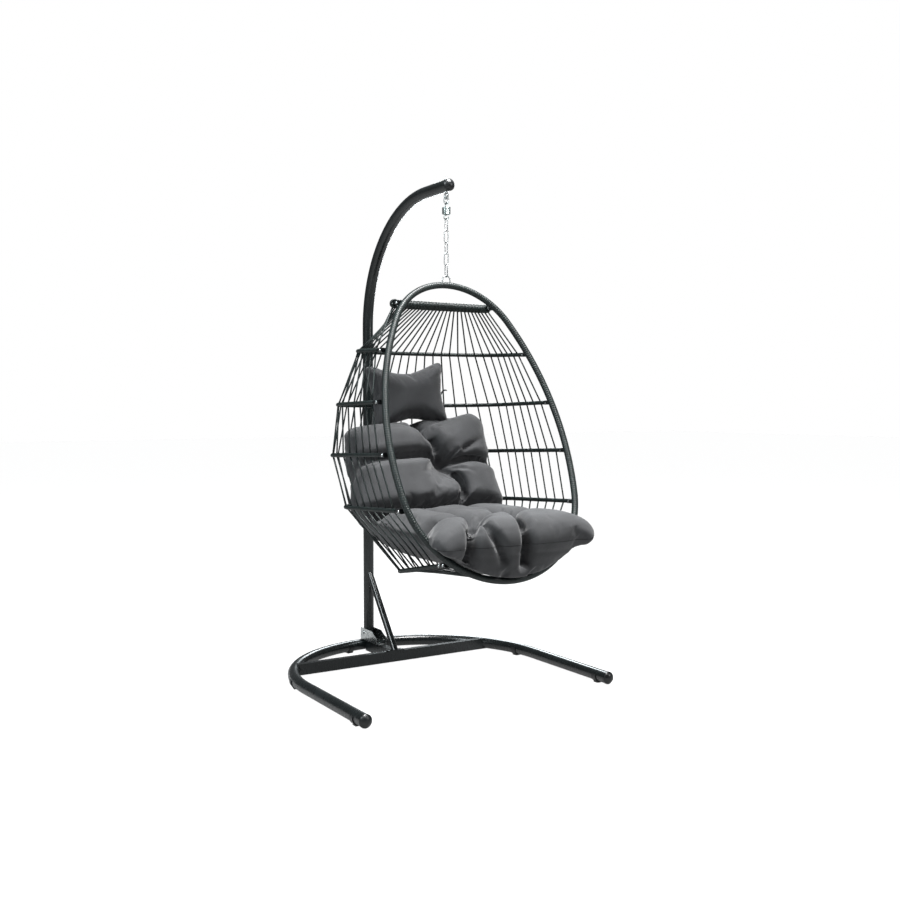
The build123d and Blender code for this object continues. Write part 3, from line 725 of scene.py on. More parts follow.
@dataclass(frozen=True)
class Hoop:
    """One horizontal hoop behind the ring."""

    name: str
    drop: float
    depth: float
    corner: float
    bow: float
    rise: float
    ring: Ring
    margin: float = 46.0 * MM
    sleeve: float = 30.0 * MM
    nose: float = 11.0 * MM
    side_gap: float = 10.05 * MM
    wrap: float = 8.0 * MM

    def lug(self) -> np.ndarray:
        """Point on the ring where its right lug starts."""
        down = self.drop / math.cos(self.ring.lean)
        return self.ring.point(self.ring.half_width(down), down)

    def tilt(self) -> float:
        """Angle of its plane above level, looking back."""
        return math.atan2(self.rise, self.depth)

    def half_width(self) -> float:
        """Half the width between its two arms."""
        return float(self.lug()[0]) + self.side_gap

    def back_arc(self) -> tuple[float, float]:
        """Radius of the back arc and length of each arm."""
        bow = math.radians(self.bow)
        radius = (self.half_width() - self.corner) / math.sin(bow) + self.corner
        arm = self.depth - radius + (radius - self.corner) * math.cos(bow)
        return radius, arm

    def path(self, start: float) -> FlatPath:
        """Its centre line, right arm first.

        Args:
            start: Distance behind the first bolt where it begins.

        Returns:
            The path.
        """
        tilt = self.tilt()
        back = np.array((0.0, math.cos(tilt), math.sin(tilt)))
        lug = self.lug()
        origin = np.array((0.0, lug[1], lug[2])) + back * self.ring.lug_reach
        radius, arm = self.back_arc()
        turn = 90 - self.bow
        steps = ((0.0, arm - start), (self.corner, turn), (radius, 2 * self.bow),
                 (self.corner, turn), (0.0, arm - start))
        first = (self.half_width(), start)
        return FlatPath(origin, np.array((1.0, 0.0, 0.0)), back, first, 90.0, steps)

    def crossings(self, count: int) -> tuple[np.ndarray, np.ndarray, np.ndarray, np.ndarray]:
        """Where the cords cross it, right to left."""
        path = self.path(0.0)
        return path.at(np.linspace(self.margin, path.length() - self.margin, count))

    def back_point(self, x: float) -> tuple[np.ndarray, np.ndarray, np.ndarray, np.ndarray]:
        """The point of its back at a distance from the middle.

        Args:
            x: Distance from the middle.

        Returns:
            Point, direction along it, outward direction and its plane's normal.
        """
        path = self.path(0.0)
        gone, flat, _ = path.samples()
        rear = flat[:, 1] > flat[:, 1].max() / 2
        place = np.interp(-x, -flat[rear, 0], gone[rear])
        return tuple(part[0] for part in path.at(np.array([place])))


def chair_hoops(ring: Ring) -> list[Hoop]:
    """The six hoops from the top bar down.

    Args:
        ring: The front ring.

    Returns:
        The hoops.
    """
    return [
        Hoop("top_bar", 0.077, 0.054, 0.024, 2.0, 0.0, ring, margin=0.036),
        Hoop("upper_hoop", 0.261, 0.360, 0.175, 28.0, 0.010, ring),
        Hoop("shoulder_hoop", 0.448, 0.505, 0.180, 23.0, -0.013, ring),
        Hoop("middle_hoop", 0.632, 0.590, 0.175, 20.0, -0.025, ring),
        Hoop("seat_hoop", 0.823, 0.590, 0.170, 20.0, -0.030, ring),
        Hoop("floor_hoop", 1.005, 0.440, 0.130, 20.0, -0.088, ring, margin=0.066, sleeve=0.052),
    ]


@dataclass
class WickerWraps:
    """The strips wound on the ring and on the hoops."""

    ring: Ring
    hoops: list[Hoop]
    palette: Palette
    hoop_pitch: float = 7.5 * MM
    sleeve_gap: float = 0.5 * MM

    def build(self) -> None:
        """Wind the ring and the six hoops."""
        ring = [(Winding(self.ring.wrap, sides=22), self.ring.path(), True)]
        hoops = [(Winding(hoop.wrap, sides=14, pitch=self.hoop_pitch),
                  hoop.path(hoop.sleeve - hoop.nose - self.sleeve_gap), False) for hoop in self.hoops]
        for name, node, windings in (
            ("ring_wicker", "ring_wrap", ring),
            ("hoop_wicker", "hoop_wraps", hoops),
        ):
            wound: dict[str, list] = {"points": [], "faces": [], "runs": []}
            for winding, path, closed in windings:
                winding.add(path, closed, wound)
            points, runs = np.array(wound["points"]), np.array(wound["runs"])
            piece = mesh_object(name, points, wound["faces"], runs)
            self.palette.hang(piece, Finish.WICKER)
            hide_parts(node)


@dataclass
class Lacing:
    """The taut cords from hoop to hoop, with both ends tucked under the windings."""

    ring: Ring
    hoops: list[Hoop]
    palette: Palette
    cord: float = 3.0 * MM
    lashing_cord: float = 3.2 * MM
    lashing_steps: int = 16
    count: int = 31
    floor_count: int = 13
    floor_reach: float = 0.178
    tuck: float = 7.2 * MM

    def cords(
        self, name: str, starts: Sequence[np.ndarray], ends: Sequence[np.ndarray]
    ) -> bpy.types.Object:
        """Taut straight cords, tucked under the winding at both ends.

        Args:
            name: The piece's name.
            starts: Where each cord starts.
            ends: Where each cord ends.

        Returns:
            The piece.
        """
        strands = Strands(self.cord)
        for start, end in zip(starts, ends):
            ahead = unit(end - start)
            first, last = start + ahead * self.tuck, end - ahead * self.tuck
            strands.add(first + (last - first) * np.linspace(0, 1, 5)[:, None])
        return strands.build(name)

    def top_lashing(self) -> bpy.types.Object:
        """The close turns of cord that cover the top bar."""
        hoop = self.hoops[0]
        path = hoop.path(hoop.sleeve - hoop.nose + self.cord)
        turns = int(path.length() / (2.05 * self.lashing_cord))
        share = np.linspace(0, 1, turns * self.lashing_steps + 1)
        point, _, right, normal = path.at(share * path.length())
        angle = 2 * math.pi * turns * share
        wobble = 1 + 0.06 * np.sin(share * 181.0) * np.cos(angle - 1.2)
        reach = ((hoop.wrap + 1.8 * self.lashing_cord) * wobble)[:, None]
        line = point + reach * (right * np.cos(angle)[:, None] + normal * np.sin(angle)[:, None])
        strands = Strands(self.lashing_cord)
        strands.add(line)
        return strands.build("top_bar_lashing")

    def build(self) -> None:
        """Make every section of the lacing, the cords under the seat and the top lashing."""
        for upper, lower in zip(self.hoops, self.hoops[1:]):
            above, below = upper.crossings(self.count)[0], lower.crossings(self.count)[0]
            piece = self.cords(f"cords_to_{lower.name}", above, below)
            self.palette.hang(piece, Finish.CORD)
            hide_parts(f"lacing_{lower.name}")
        across = np.linspace(-self.floor_reach, self.floor_reach, self.floor_count)
        rear = [self.hoops[-1].back_point(x)[0] for x in across]
        piece = self.cords("cords_under_seat", rear, [self.ring.bottom(x) for x in across])
        self.palette.hang(piece, Finish.CORD)
        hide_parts("lacing_floor")
        self.palette.hang(self.top_lashing(), Finish.CORD)


# ---- hanger ---------------------------------------------------------------------
@dataclass
class CoilSpring:
    """The close-wound extension spring with a loop at each end."""

    palette: Palette
    wire: float = 2.0 * MM
    radius: float = 14.5 * MM
    loop: float = 8.5 * MM
    top_loop: float = 1.8556
    low_loop: float = 1.8070
    coil_top: float = 1.8455
    coil_low: float = 1.8171
    pitch: float = 4.15 * MM

    def line(self) -> np.ndarray:
        """Centre line of the wire, from the top loop's end to the low loop's end."""
        turns = (self.coil_top - self.coil_low) / self.pitch
        share = np.linspace(0, 1, 240)[:, None]
        angle = 2 * math.pi * turns * share
        quarter = np.array((0.0, 1.0, 0.0)), np.array((1.0, 0.0, 0.0))
        coil = self.radius * (quarter[0] * np.cos(angle) + quarter[1] * np.sin(angle))
        coil = coil + UP * (self.coil_top - (self.coil_top - self.coil_low) * share)
        loops = []
        last = unit(coil[-1] * (1.0, 1.0, 0.0))
        for height, side, sign in ((self.top_loop, quarter[0], 1.0), (self.low_loop, last, -1.0)):
            bend = np.linspace(math.radians(-285), math.radians(35), 40)[:, None]
            circle = side * np.sin(bend + math.pi) * self.loop - UP * sign * np.cos(bend) * self.loop
            loops.append(circle + UP * height)
        low = loops[1][::-1]
        line = np.vstack((loops[0][:-4], coil[6:-6], low[4:]))
        return smooth_line(line, 1.1 * MM) + HANG

    def build(self) -> None:
        """Make the spring between its two bodies, as one mesh that is attached to neither."""
        strands = Strands(self.wire, 10)
        strands.add(self.line())
        piece = strands.build("coil_spring")
        self.palette.dress(piece, Finish.SPRING)
        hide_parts("extension_spring")
        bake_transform(piece)
        log.info("%s: %d faces", piece.name, len(piece.data.polygons))


# ---- cushions -------------------------------------------------------------------
@dataclass(frozen=True)
class Crease:
    """A line where the stuffing is drawn in: a soft channel, and the sharp fold in it."""

    points: tuple[tuple[float, float, float], ...]
    depth: float
    width: float
    fade: float = 0.35
    fold: float = 0.0
    fold_width: float = 0.030

    def line(self, piece: bpy.types.Object) -> np.ndarray:
        """The crease laid on a surface."""
        line = smooth_line(np.array(self.points), 0.008)
        return np.array([piece.closest_point_on_mesh(Vector(point))[1] for point in line])

    def near(self, places: np.ndarray, line: np.ndarray, width: float, power: float) -> np.ndarray:
        """How strongly places are drawn in, from 0 to 1.

        Args:
            places: Points near the cushion's surface.
            line: The crease on the surface.
            width: How far it reaches.
            power: How pointed its section is.

        Returns:
            A share for each point.
        """
        strength = 1 - (1 - self.fade) * np.linspace(0, 1, len(line)) ** 1.2
        pulled = np.zeros(len(places))
        for point, weight in zip(line, strength):
            close = np.nonzero(np.abs(places[:, 0] - point[0]) < width)[0]
            gap = np.linalg.norm(places[close] - point, axis=1) / width
            pulled[close] = np.maximum(pulled[close], weight * np.clip(1 - gap, 0, 1) ** power)
        return pulled


@dataclass
class Stuffing:
    """Swells a closed shape with a cloth simulation and keeps its creases drawn in."""

    cap: float
    pressure: float = 4.0
    slack: float = -0.06
    frames: int = 20

    def swell(self, piece: bpy.types.Object, held: np.ndarray) -> None:
        """Run the simulation and bake it into the mesh.

        Args:
            piece: The closed mesh.
            held: From 0 to 1, how firmly each vertex is held in place.
        """
        before = vertex_places(piece)
        group = piece.vertex_groups.new(name="held")
        for index in np.nonzero(held > 0.02)[0]:
            group.add([int(index)], float(held[index]), "REPLACE")
        cloth = piece.modifiers.new("swell", "CLOTH")
        settings = {
            "quality": 5, "mass": 0.25, "tension_stiffness": 12.0, "compression_stiffness": 12.0,
            "shear_stiffness": 6.0, "bending_stiffness": 0.25, "shrink_min": self.slack,
            "use_pressure": True, "uniform_pressure_force": self.pressure,
            "vertex_group_mass": "held", "pin_stiffness": 1.0,
        }
        for key, value in settings.items():
            setattr(cloth.settings, key, value)
        cloth.settings.effector_weights.gravity = 0.0
        cloth.collision_settings.use_collision = False
        scene = bpy.context.scene
        for number in range(1, self.frames + 1):
            scene.frame_set(number)
        graph = bpy.context.evaluated_depsgraph_get()
        after = read_vectors(piece.evaluated_get(graph).to_mesh().vertices, "co")
        piece.evaluated_get(graph).to_mesh_clear()
        piece.modifiers.clear()
        piece.vertex_groups.clear()
        scene.frame_set(1)
        moved = after - before
        length = np.linalg.norm(moved, axis=1, keepdims=True)
        limit = self.cap * np.tanh(length / self.cap)
        set_places(piece, before + moved * limit / np.maximum(length, 1e-9))


def read_vectors(items: bpy.types.bpy_prop_collection, key: str) -> np.ndarray:
    """One vector for each item of a mesh collection.

    Args:
        items: The collection, such as a mesh's vertices.
        key: The property that holds the vector.

    Returns:
        The vectors, one to a row.
    """
    flat = np.empty(len(items) * 3)
    items.foreach_get(key, flat)
    return flat.reshape(-1, 3)


def vertex_places(piece: bpy.types.Object) -> np.ndarray:
    """The vertices of a mesh object as an array."""
    return read_vectors(piece.data.vertices, "co")


def vertex_normals(piece: bpy.types.Object) -> np.ndarray:
    """The vertex normals of a mesh object as an array."""
    return read_vectors(piece.data.vertices, "normal")


def set_places(piece: bpy.types.Object, places: np.ndarray) -> None:
    """Move the vertices of a mesh object."""
    piece.data.vertices.foreach_set("co", places.ravel())
    piece.data.update()


def apply_modifier(piece: bpy.types.Object, kind: str, **settings: object) -> None:
    """Add one modifier and make its result the mesh.

    Args:
        piece: The object.
        kind: The modifier's type.
        settings: Its properties.
    """
    modifier = piece.modifiers.new("shape", kind)
    for key, value in settings.items():
        setattr(modifier, key, value)
    graph = bpy.context.evaluated_depsgraph_get()
    made = bpy.data.meshes.new_from_object(piece.evaluated_get(graph), depsgraph=graph)
    piece.modifiers.clear()
    old = piece.data
    piece.data = made
    bpy.data.meshes.remove(old)
    made.name = piece.name
    made.polygons.foreach_set("use_smooth", [True] * len(made.polygons))


def loft(name: str, rows: np.ndarray) -> bpy.types.Object:
    """A closed skin over rings of points."""
    return mesh_object(name, rows.reshape(-1, 3), skin(0, *rows.shape[:2]))


@dataclass
class SeatCushion:
    """The tufted cushion, folded into a seat and a backrest."""

    palette: Palette
    ring: Ring
    voxel: float = 7.0 * MM
    clear: float = 1.5 * MM
    side: tuple[tuple[float, float], ...] = (
        # behind the hang point and above the floor, along the middle of the stuffing
        (-0.486, 0.588), (-0.36, 0.588), (-0.22, 0.584), (-0.09, 0.586), (0.01, 0.608),
        (0.075, 0.662), (0.118, 0.738), (0.152, 0.822), (0.178, 0.905), (0.190, 0.992))
    half_thick: tuple[tuple[float, float], ...] = (
        (0.0, 0.086), (0.1, 0.094), (0.34, 0.093), (0.5, 0.084), (0.6, 0.088), (0.85, 0.092),
        (1.0, 0.080))
    half_width: tuple[tuple[float, float], ...] = (
        (0.0, 0.318), (0.05, 0.330), (0.09, 0.325), (0.14, 0.308), (0.3, 0.310), (0.45, 0.318),
        (0.6, 0.322), (0.8, 0.305), (0.92, 0.296), (1.0, 0.285))
    side_shift: tuple[tuple[float, float], ...] = (
        (0.0, 0.006), (0.45, 0.0), (0.65, -0.026), (1.0, -0.034))
    lobe: tuple[tuple[float, float], ...] = (
        # across the top of the backrest: rise of its edge
        (-0.28, -0.014), (-0.18, -0.008), (-0.05, -0.012), (0.0, -0.034), (0.05, -0.032),
        (0.12, -0.008), (0.20, 0.026), (0.24, 0.036), (0.28, 0.024))
    front_slope: float = 0.030
    front_edge: float = 0.045
    top_edge: float = 0.040
    narrow_under: float = 0.34
    rest_depth: float = 0.24
    seam_height: float = 0.604
    seam_cord: float = 1.5 * MM
    ring_points: int = 72
    across_power: float = 0.42
    rise_power: float = 0.62
    end_power: float = 2.6
    puff: float = 0.018
    drawn_share: float = 0.85
    swell_cap: float = 0.014

    def spine(self) -> tuple[np.ndarray, np.ndarray, np.ndarray]:
        """The middle line of the stuffing with its shares and its upward normals."""
        flat = np.array([(0.0, HANG[1] + back, up) for back, up in self.side])
        line = smooth_line(flat, 0.012)
        ahead = unit(np.gradient(line, axis=0))
        normal = unit(np.cross(np.array((1.0, 0.0, 0.0)), ahead))
        return line, np.linspace(0, 1, len(line)), normal

    def rows(self) -> np.ndarray:
        """Rings of points round the stuffing, front to top."""
        line, share, normal = self.spine()
        thick = np.interp(share, *zip(*self.half_thick))
        width = np.interp(share, *zip(*self.half_width))
        shift = np.interp(share, *zip(*self.side_shift))
        length = np.linalg.norm(np.diff(line, axis=0), axis=1).sum()
        turns = np.linspace(0, 2 * math.pi, self.ring_points, endpoint=False)
        across = np.copysign(np.abs(np.cos(turns)) ** self.across_power, np.cos(turns))
        rise = np.copysign(np.abs(np.sin(turns)) ** self.rise_power, np.sin(turns))
        rings = []
        for index, point in enumerate(line):
            ends = share[index] * length / self.front_edge, (1 - share[index]) * length / self.top_edge
            close = math.sqrt(max(0.0, 1 - (1 - min(*ends, 1.0)) ** self.end_power))
            seat = 1 - np.clip((share[index] - 0.40) / 0.16, 0, 1)
            front = np.clip(1 - (share[index] - 0.14) / self.rest_depth, 0, 1)
            taper = 1 - self.narrow_under * seat * np.clip(0.1 - rise, 0, 1.1) / 1.1
            side = across * width[index] * taper * (0.94 + 0.06 * close)
            lift = rise * thick[index] * (0.58 + 0.42 * close)
            places = point + np.outer(side, (1, 0, 0)) + np.outer(lift, normal[index])
            near_front = np.clip(1 - share[index] / 0.2, 0, 1)
            places[:, 1] += self.front_slope * near_front * np.maximum(-rise, 0)
            top = np.clip((share[index] - 0.8) / 0.2, 0, 1) ** 2
            places[:, 2] += top * np.interp(side, *zip(*self.lobe))
            places[:, 0] += shift[index]
            under = np.clip(-rise, 0, 1) * front
            places[:, 2] += (self.rest_height(places[:, 0]) - places[:, 2]) * under
            rings.append(self.clear_of_ring(places))
        return np.array(rings)

    def rest_height(self, across: np.ndarray) -> np.ndarray:
        """Height at which the seat rests on the foot of the ring.

        Args:
            across: Distances from the middle.

        Returns:
            The heights.
        """
        centre, radius = self.ring.corners()[-1][:2]
        x = np.minimum(np.abs(across), 0.9 * radius)
        slant = np.sqrt(1 - (x / radius) ** 2)
        down = centre[1] + radius * slant
        tube = (self.ring.wrap + self.clear) / slant
        return self.ring.top - down * math.cos(self.ring.lean) + tube

    def clear_of_ring(self, places: np.ndarray) -> np.ndarray:
        """Lift points of the seat off the foot of the ring.

        Args:
            places: The points.

        Returns:
            The points, none lower than where the seat rests.
        """
        plane = self.ring.origin()[1] + (places[:, 2] - self.ring.top) * math.tan(self.ring.lean)
        weight = np.clip(1 - (plane - places[:, 1] - 0.045) / 0.04, 0, 1)
        inside = np.clip((0.33 - np.abs(places[:, 0])) / 0.06, 0, 1)
        behind = np.clip((places[:, 1] - plane - 0.03) / 0.06, 0, 1)
        weight = weight * np.maximum(inside, behind) * np.clip((0.72 - places[:, 2]) / 0.06, 0, 1)
        lift = np.maximum(self.rest_height(places[:, 0]) - places[:, 2], 0)
        return places + np.outer(lift * weight, UP)

    def out_of_tube(self, places: np.ndarray) -> np.ndarray:
        """Press points that lie in the ring's tube out to its surface.

        Args:
            places: The points.

        Returns:
            The points, all clear of the tube.
        """
        path = self.ring.path()
        middle = path.at(np.linspace(0, path.length(), 900, endpoint=False))[0]
        tree = KDTree(len(middle))
        for index, point in enumerate(middle):
            tree.insert(Vector(point), index)
        tree.balance()
        reach = self.ring.wrap + self.clear
        moved = places.copy()
        for index in np.nonzero(places[:, 2] < 0.9)[0]:
            near, _, gap = tree.find(Vector(places[index]))
            if gap < reach:
                moved[index] = np.array(near) + (places[index] - near) * reach / max(gap, 1e-4)
        return moved

    def tufts(self) -> dict[str, tuple[float, float, float]]:
        """The buttonless tufts: two on the seat and one on the backrest."""
        y = HANG[1]
        return {"right": (0.086, y - 0.281, 0.680), "left": (-0.125, y - 0.375, 0.680),
                "rest": (0.035, y + 0.078, 0.858)}

    def creases(self) -> list[Crease]:
        """Where the cushion is tufted and folded."""
        y = HANG[1]
        right, left, rest = self.tufts().values()
        front = y - 0.500
        tufts = ((right, 0.054, 0.085), (left, 0.046, 0.075), (rest, 0.070, 0.100))
        found = [Crease((spot, tuple(np.array(spot) + (0, 0, 0.004))), depth, width, 1.0, 0.012, 0.036)
                 for spot, depth, width in tufts]
        runs = (
            # the folds over the front edge
            ((right, (0.050, y - 0.400, 0.684), (0.022, front, 0.672), (0.031, front, 0.530)),
             0.034, 0.044, 0.80, 0.028),
            ((left, (-0.172, y - 0.450, 0.680), (-0.194, front, 0.662), (-0.203, front, 0.535)),
             0.034, 0.044, 0.80, 0.028),
            (((-0.128, y - 0.440, 0.684), (-0.112, front, 0.650), (-0.066, front, 0.550)),
             0.016, 0.034, 0.60, 0.024),
            # the channels across the seat
            ((right, (0.02, y - 0.300, 0.684), (-0.06, y - 0.345, 0.684), left),
             0.018, 0.050, 1.00, 0.008),
            ((right, (0.19, y - 0.270, 0.684), (0.32, y - 0.250, 0.640)), 0.024, 0.055, 0.40, 0.005),
            ((left, (-0.22, y - 0.330, 0.684), (-0.33, y - 0.300, 0.640)), 0.026, 0.052, 0.50, 0.008),
            ((right, (0.080, y - 0.17, 0.690), (0.070, y - 0.06, 0.690)), 0.028, 0.050, 0.60, 0.008),
            ((left, (-0.130, y - 0.22, 0.690), (-0.120, y - 0.07, 0.690)), 0.028, 0.050, 0.60, 0.010),
            # the fold between the seat and the backrest
            (((0.07, y - 0.004, 0.708), (0.18, y - 0.010, 0.712), (0.33, y - 0.004, 0.690)),
             0.050, 0.058, 0.80, 0.016),
            (((0.07, y - 0.004, 0.708), (-0.06, y - 0.012, 0.712), (-0.20, y - 0.006, 0.700),
              (-0.34, y, 0.690)), 0.046, 0.056, 0.90, 0.026),
            # the folds that meet in the middle of the backrest
            ((rest, (0.014, y + 0.088, 0.939), (-0.028, y + 0.115, 0.999), (-0.040, y + 0.150, 1.055)),
             0.034, 0.050, 0.80, 0.022),
            ((rest, (0.085, y + 0.052, 0.800), (0.100, y + 0.022, 0.740), (0.085, y, 0.705)),
             0.030, 0.044, 0.80, 0.026),
            ((rest, (0.145, y + 0.080, 0.876), (0.255, y + 0.090, 0.862)), 0.032, 0.044, 0.60, 0.026),
            ((rest, (-0.032, y + 0.080, 0.900), (-0.158, y + 0.085, 0.892), (-0.320, y + 0.100, 0.872)),
             0.028, 0.042, 0.60, 0.026),
            (((0.130, y + 0.095, 0.905), (0.215, y + 0.100, 0.950)), 0.010, 0.032, 0.30, 0.008),
        )
        return found + [Crease(*run) for run in runs]

    def gathers(self) -> list[Crease]:
        """Small gathers that run out from the tufts."""
        right, left, rest = self.tufts().values()
        side, ahead = np.array((1.0, 0.0, 0.0)), np.array((0.0, 1.0, 0.0))
        lean = unit(np.array((0.0, 0.12, 1.0)))
        found = []
        for spot, along, rays, reach, phase in (
            (right, ahead, 13, 0.120, 1.0), (left, ahead, 10, 0.095, 0.3), (rest, lean, 12, 0.130, 0.5),
        ):
            for ray in range(rays):
                angle = phase + 2 * math.pi * ray / rays + 0.22 * math.sin(ray * 2.7 + phase)
                length = reach * (0.70 + 0.30 * math.cos(ray * 1.9 + phase))
                run = length * (side * math.cos(angle) + along * math.sin(angle))
                start, end = np.array(spot) + 0.2 * run, np.array(spot) + run
                found.append(Crease((tuple(start), tuple(end)), 0.0, 0.0, 0.1, 0.010, 0.018))
        return found

    def build(self) -> None:
        """Shape, stuff and sew the cushion."""
        piece = loft("tufted_cushion", self.rows())
        apply_modifier(piece, "REMESH", mode="VOXEL", voxel_size=self.voxel)
        apply_modifier(piece, "SMOOTH", iterations=3, factor=0.5)
        places, normals = vertex_places(piece), vertex_normals(piece)
        creases = self.creases()
        lines = [crease.line(piece) for crease in creases]
        gathers = self.gathers()
        small = [crease.line(piece) for crease in gathers]
        flat = piece.data.attributes.new("flat_place", "FLOAT_VECTOR", "POINT")
        flat.data.foreach_set("vector", places.ravel())
        pulled = np.zeros(len(places))
        for crease, line in zip(creases, lines):
            pulled = np.maximum(pulled, crease.depth * crease.near(places, line, crease.width, 1.7))
        facing = np.clip(normals[:, 2] + np.clip(-normals[:, 1], 0, 1), 0, 1)
        puffs = self.puff * facing * np.clip(1 - pulled / 0.02, 0, 1)
        set_places(piece, places + unit(normals) * (puffs - pulled * self.drawn_share)[:, None])
        apply_modifier(piece, "SMOOTH", iterations=1, factor=0.3)
        Stuffing(cap=self.swell_cap).swell(piece, np.clip((pulled - 0.022) / 0.03, 0, 1))
        apply_modifier(piece, "SUBSURF", levels=1)
        self.sew(piece, list(zip(creases + gathers, lines + small)))
        self.palette.hang(piece, Finish.CUSHION)
        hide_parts("seat_cushion")
        self.palette.hang(self.seam(piece), Finish.WEBBING)

    def sew(self, piece: bpy.types.Object, creases: list[tuple[Crease, np.ndarray]]) -> None:
        """Fold the cloth sharply along the creases and seat the cushion on the ring.

        Args:
            piece: The stuffed cushion.
            creases: Each crease and its line on the unstuffed surface.
        """
        places, normals = vertex_places(piece), vertex_normals(piece)
        flat = read_vectors(piece.data.attributes["flat_place"].data, "vector")
        folded = np.zeros(len(places))
        for crease, line in creases:
            folded = np.maximum(folded, crease.fold * crease.near(flat, line, crease.fold_width, 1.9))
        piece.data.attributes.remove(piece.data.attributes["flat_place"])
        sewn = places - unit(normals) * folded[:, None]
        set_places(piece, self.out_of_tube(self.clear_of_ring(sewn)))

    def seam(self, piece: bpy.types.Object) -> bpy.types.Object:
        """The sewn seam along the front and sides of the seat.

        Args:
            piece: The finished cushion.

        Returns:
            The seam.
        """
        y, height = HANG[1], self.seam_height
        route = ((-0.42, y - 0.42), (-0.37, y - 0.54), (-0.20, y - 0.60), (0.0, y - 0.62),
                 (0.20, y - 0.60), (0.37, y - 0.54), (0.42, y - 0.42))
        line = smooth_line(np.array([(x, back, height) for x, back in route]), 0.006)
        laid = []
        for point in line:
            inward = Vector((-point[0] * 0.6, y - 0.25 - point[1], 0.0)).normalized()
            hit, place, normal, _ = piece.ray_cast(Vector(point), inward)
            if hit:
                laid.append(np.array(place) - np.array(normal) * self.seam_cord * 0.35)
        strands = Strands(self.seam_cord, 8)
        strands.add(smooth_line(np.array(laid)[::2], 0.004))
        return strands.build("cushion_seam")


@dataclass
class HeadPillow:
    """The head pillow with a rounded lobe at each corner."""

    palette: Palette
    half_width: float = 0.196
    half_height: float = 0.166
    thick: float = 0.058
    squareness: float = 4.6
    side_dip: float = 0.23
    long_dip: float = 0.47
    tilt: float = -4.0
    lean: float = -6.0
    voxel: float = 5.0 * MM
    ring_points: int = 96
    rings: int = 45
    swell_cap: float = 0.007
    middle: tuple[float, float, float] = (-0.050, 0.218, 1.123)

    def place(self, points: np.ndarray) -> np.ndarray:
        """Points of the pillow's own frame where it hangs.

        Args:
            points: Across, back and up from its middle.

        Returns:
            The points.
        """
        turned = Matrix.Rotation(math.radians(self.tilt), 3, "Y") @ Matrix.Rotation(
            math.radians(self.lean), 3, "X")
        return points @ np.array(turned).T + HANG + np.array(self.middle)

    def rows(self) -> np.ndarray:
        """Rings of points from the middle of its back to the middle of its front."""
        turns = np.linspace(0, 2 * math.pi, self.ring_points, endpoint=False)
        cos, sin = np.cos(turns), np.sin(turns)
        power = self.squareness
        far = (np.abs(cos) ** power + np.abs(sin) ** power) ** (-1 / power)
        across, up = far * cos, far * sin
        x = self.half_width * across * (1 - self.side_dip * (1 - up**2))
        z = self.half_height * up * (1 - self.long_dip * (1 - across**2))
        rings = []
        for angle in np.linspace(-89, 89, self.rings):
            reach, deep = math.cos(math.radians(angle)) ** 0.62, math.sin(math.radians(angle))
            rings.append(np.column_stack((x * reach, np.full(len(x), -self.thick * deep), z * reach)))
        return self.place(np.array(rings))

    def puckers(self) -> list[Crease]:
        """Short folds that run in from the corners and the long edges."""
        found = []
        for x, z, dx, dz in (
            (0.74, 0.70, -0.34, -0.30), (0.52, 0.74, -0.14, -0.42), (0.80, 0.45, -0.34, -0.08),
            (-0.74, 0.70, 0.34, -0.30), (-0.54, 0.72, 0.20, -0.36), (0.74, -0.70, -0.34, 0.30),
            (0.54, -0.72, -0.14, 0.40), (-0.74, -0.70, 0.34, 0.30), (0.05, 0.58, 0.06, -0.3),
        ):
            ends = np.array(((x, -0.6, z), (x + dx, -1.0, z + dz)))
            ends = self.place(ends * (self.half_width, self.thick, self.half_height))
            found.append(Crease(tuple(map(tuple, ends)), 0.006, 0.020, 0.1))
        return found

    def build(self) -> None:
        """Make the pillow."""
        piece = loft("lobed_pillow", self.rows())
        apply_modifier(piece, "REMESH", mode="VOXEL", voxel_size=self.voxel)
        apply_modifier(piece, "SMOOTH", iterations=3, factor=0.5)
        creases = [(crease, crease.line(piece)) for crease in self.puckers()]
        Stuffing(cap=self.swell_cap, slack=-0.05).swell(piece, np.zeros(len(piece.data.vertices)))
        apply_modifier(piece, "SUBSURF", levels=1)
        places, normals = vertex_places(piece), vertex_normals(piece)
        drawn = np.zeros(len(places))
        for crease, line in creases:
            drawn = np.maximum(drawn, crease.depth * crease.near(places, line, crease.width, 1.3))
        set_places(piece, places - unit(normals) * drawn[:, None])
        self.palette.hang(piece, Finish.PILLOW)
        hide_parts("head_pillow")


@dataclass
class Ribbon:
    """Flat webbing along a line."""

    width: float = 15.0 * MM
    thick: float = 1.4 * MM

    def build(self, name: str, lines: list[tuple[np.ndarray, np.ndarray]]) -> bpy.types.Object:
        """Make one piece from several lengths.

        Args:
            name: The piece's name.
            lines: Points of each length with the direction of its width.

        Returns:
            The object.
        """
        points, faces, runs = [], [], []
        for number, (line, across) in enumerate(lines):
            line = smooth_line(line, 3.0 * MM)
            ahead = unit(np.gradient(line, axis=0))
            out = unit(np.cross(ahead, across))
            start = len(points)
            half, thin = self.width / 2, self.thick / 2
            for index, point in enumerate(line):
                for side, rise in ((-half, -thin), (half, -thin), (half, thin), (-half, thin)):
                    points.append(point + across * side + out[index] * rise)
                    runs.append((index * 0.003, side / self.width, number))
            faces += skin(start, len(line), 4)
        return mesh_object(name, np.array(points), faces, np.array(runs))


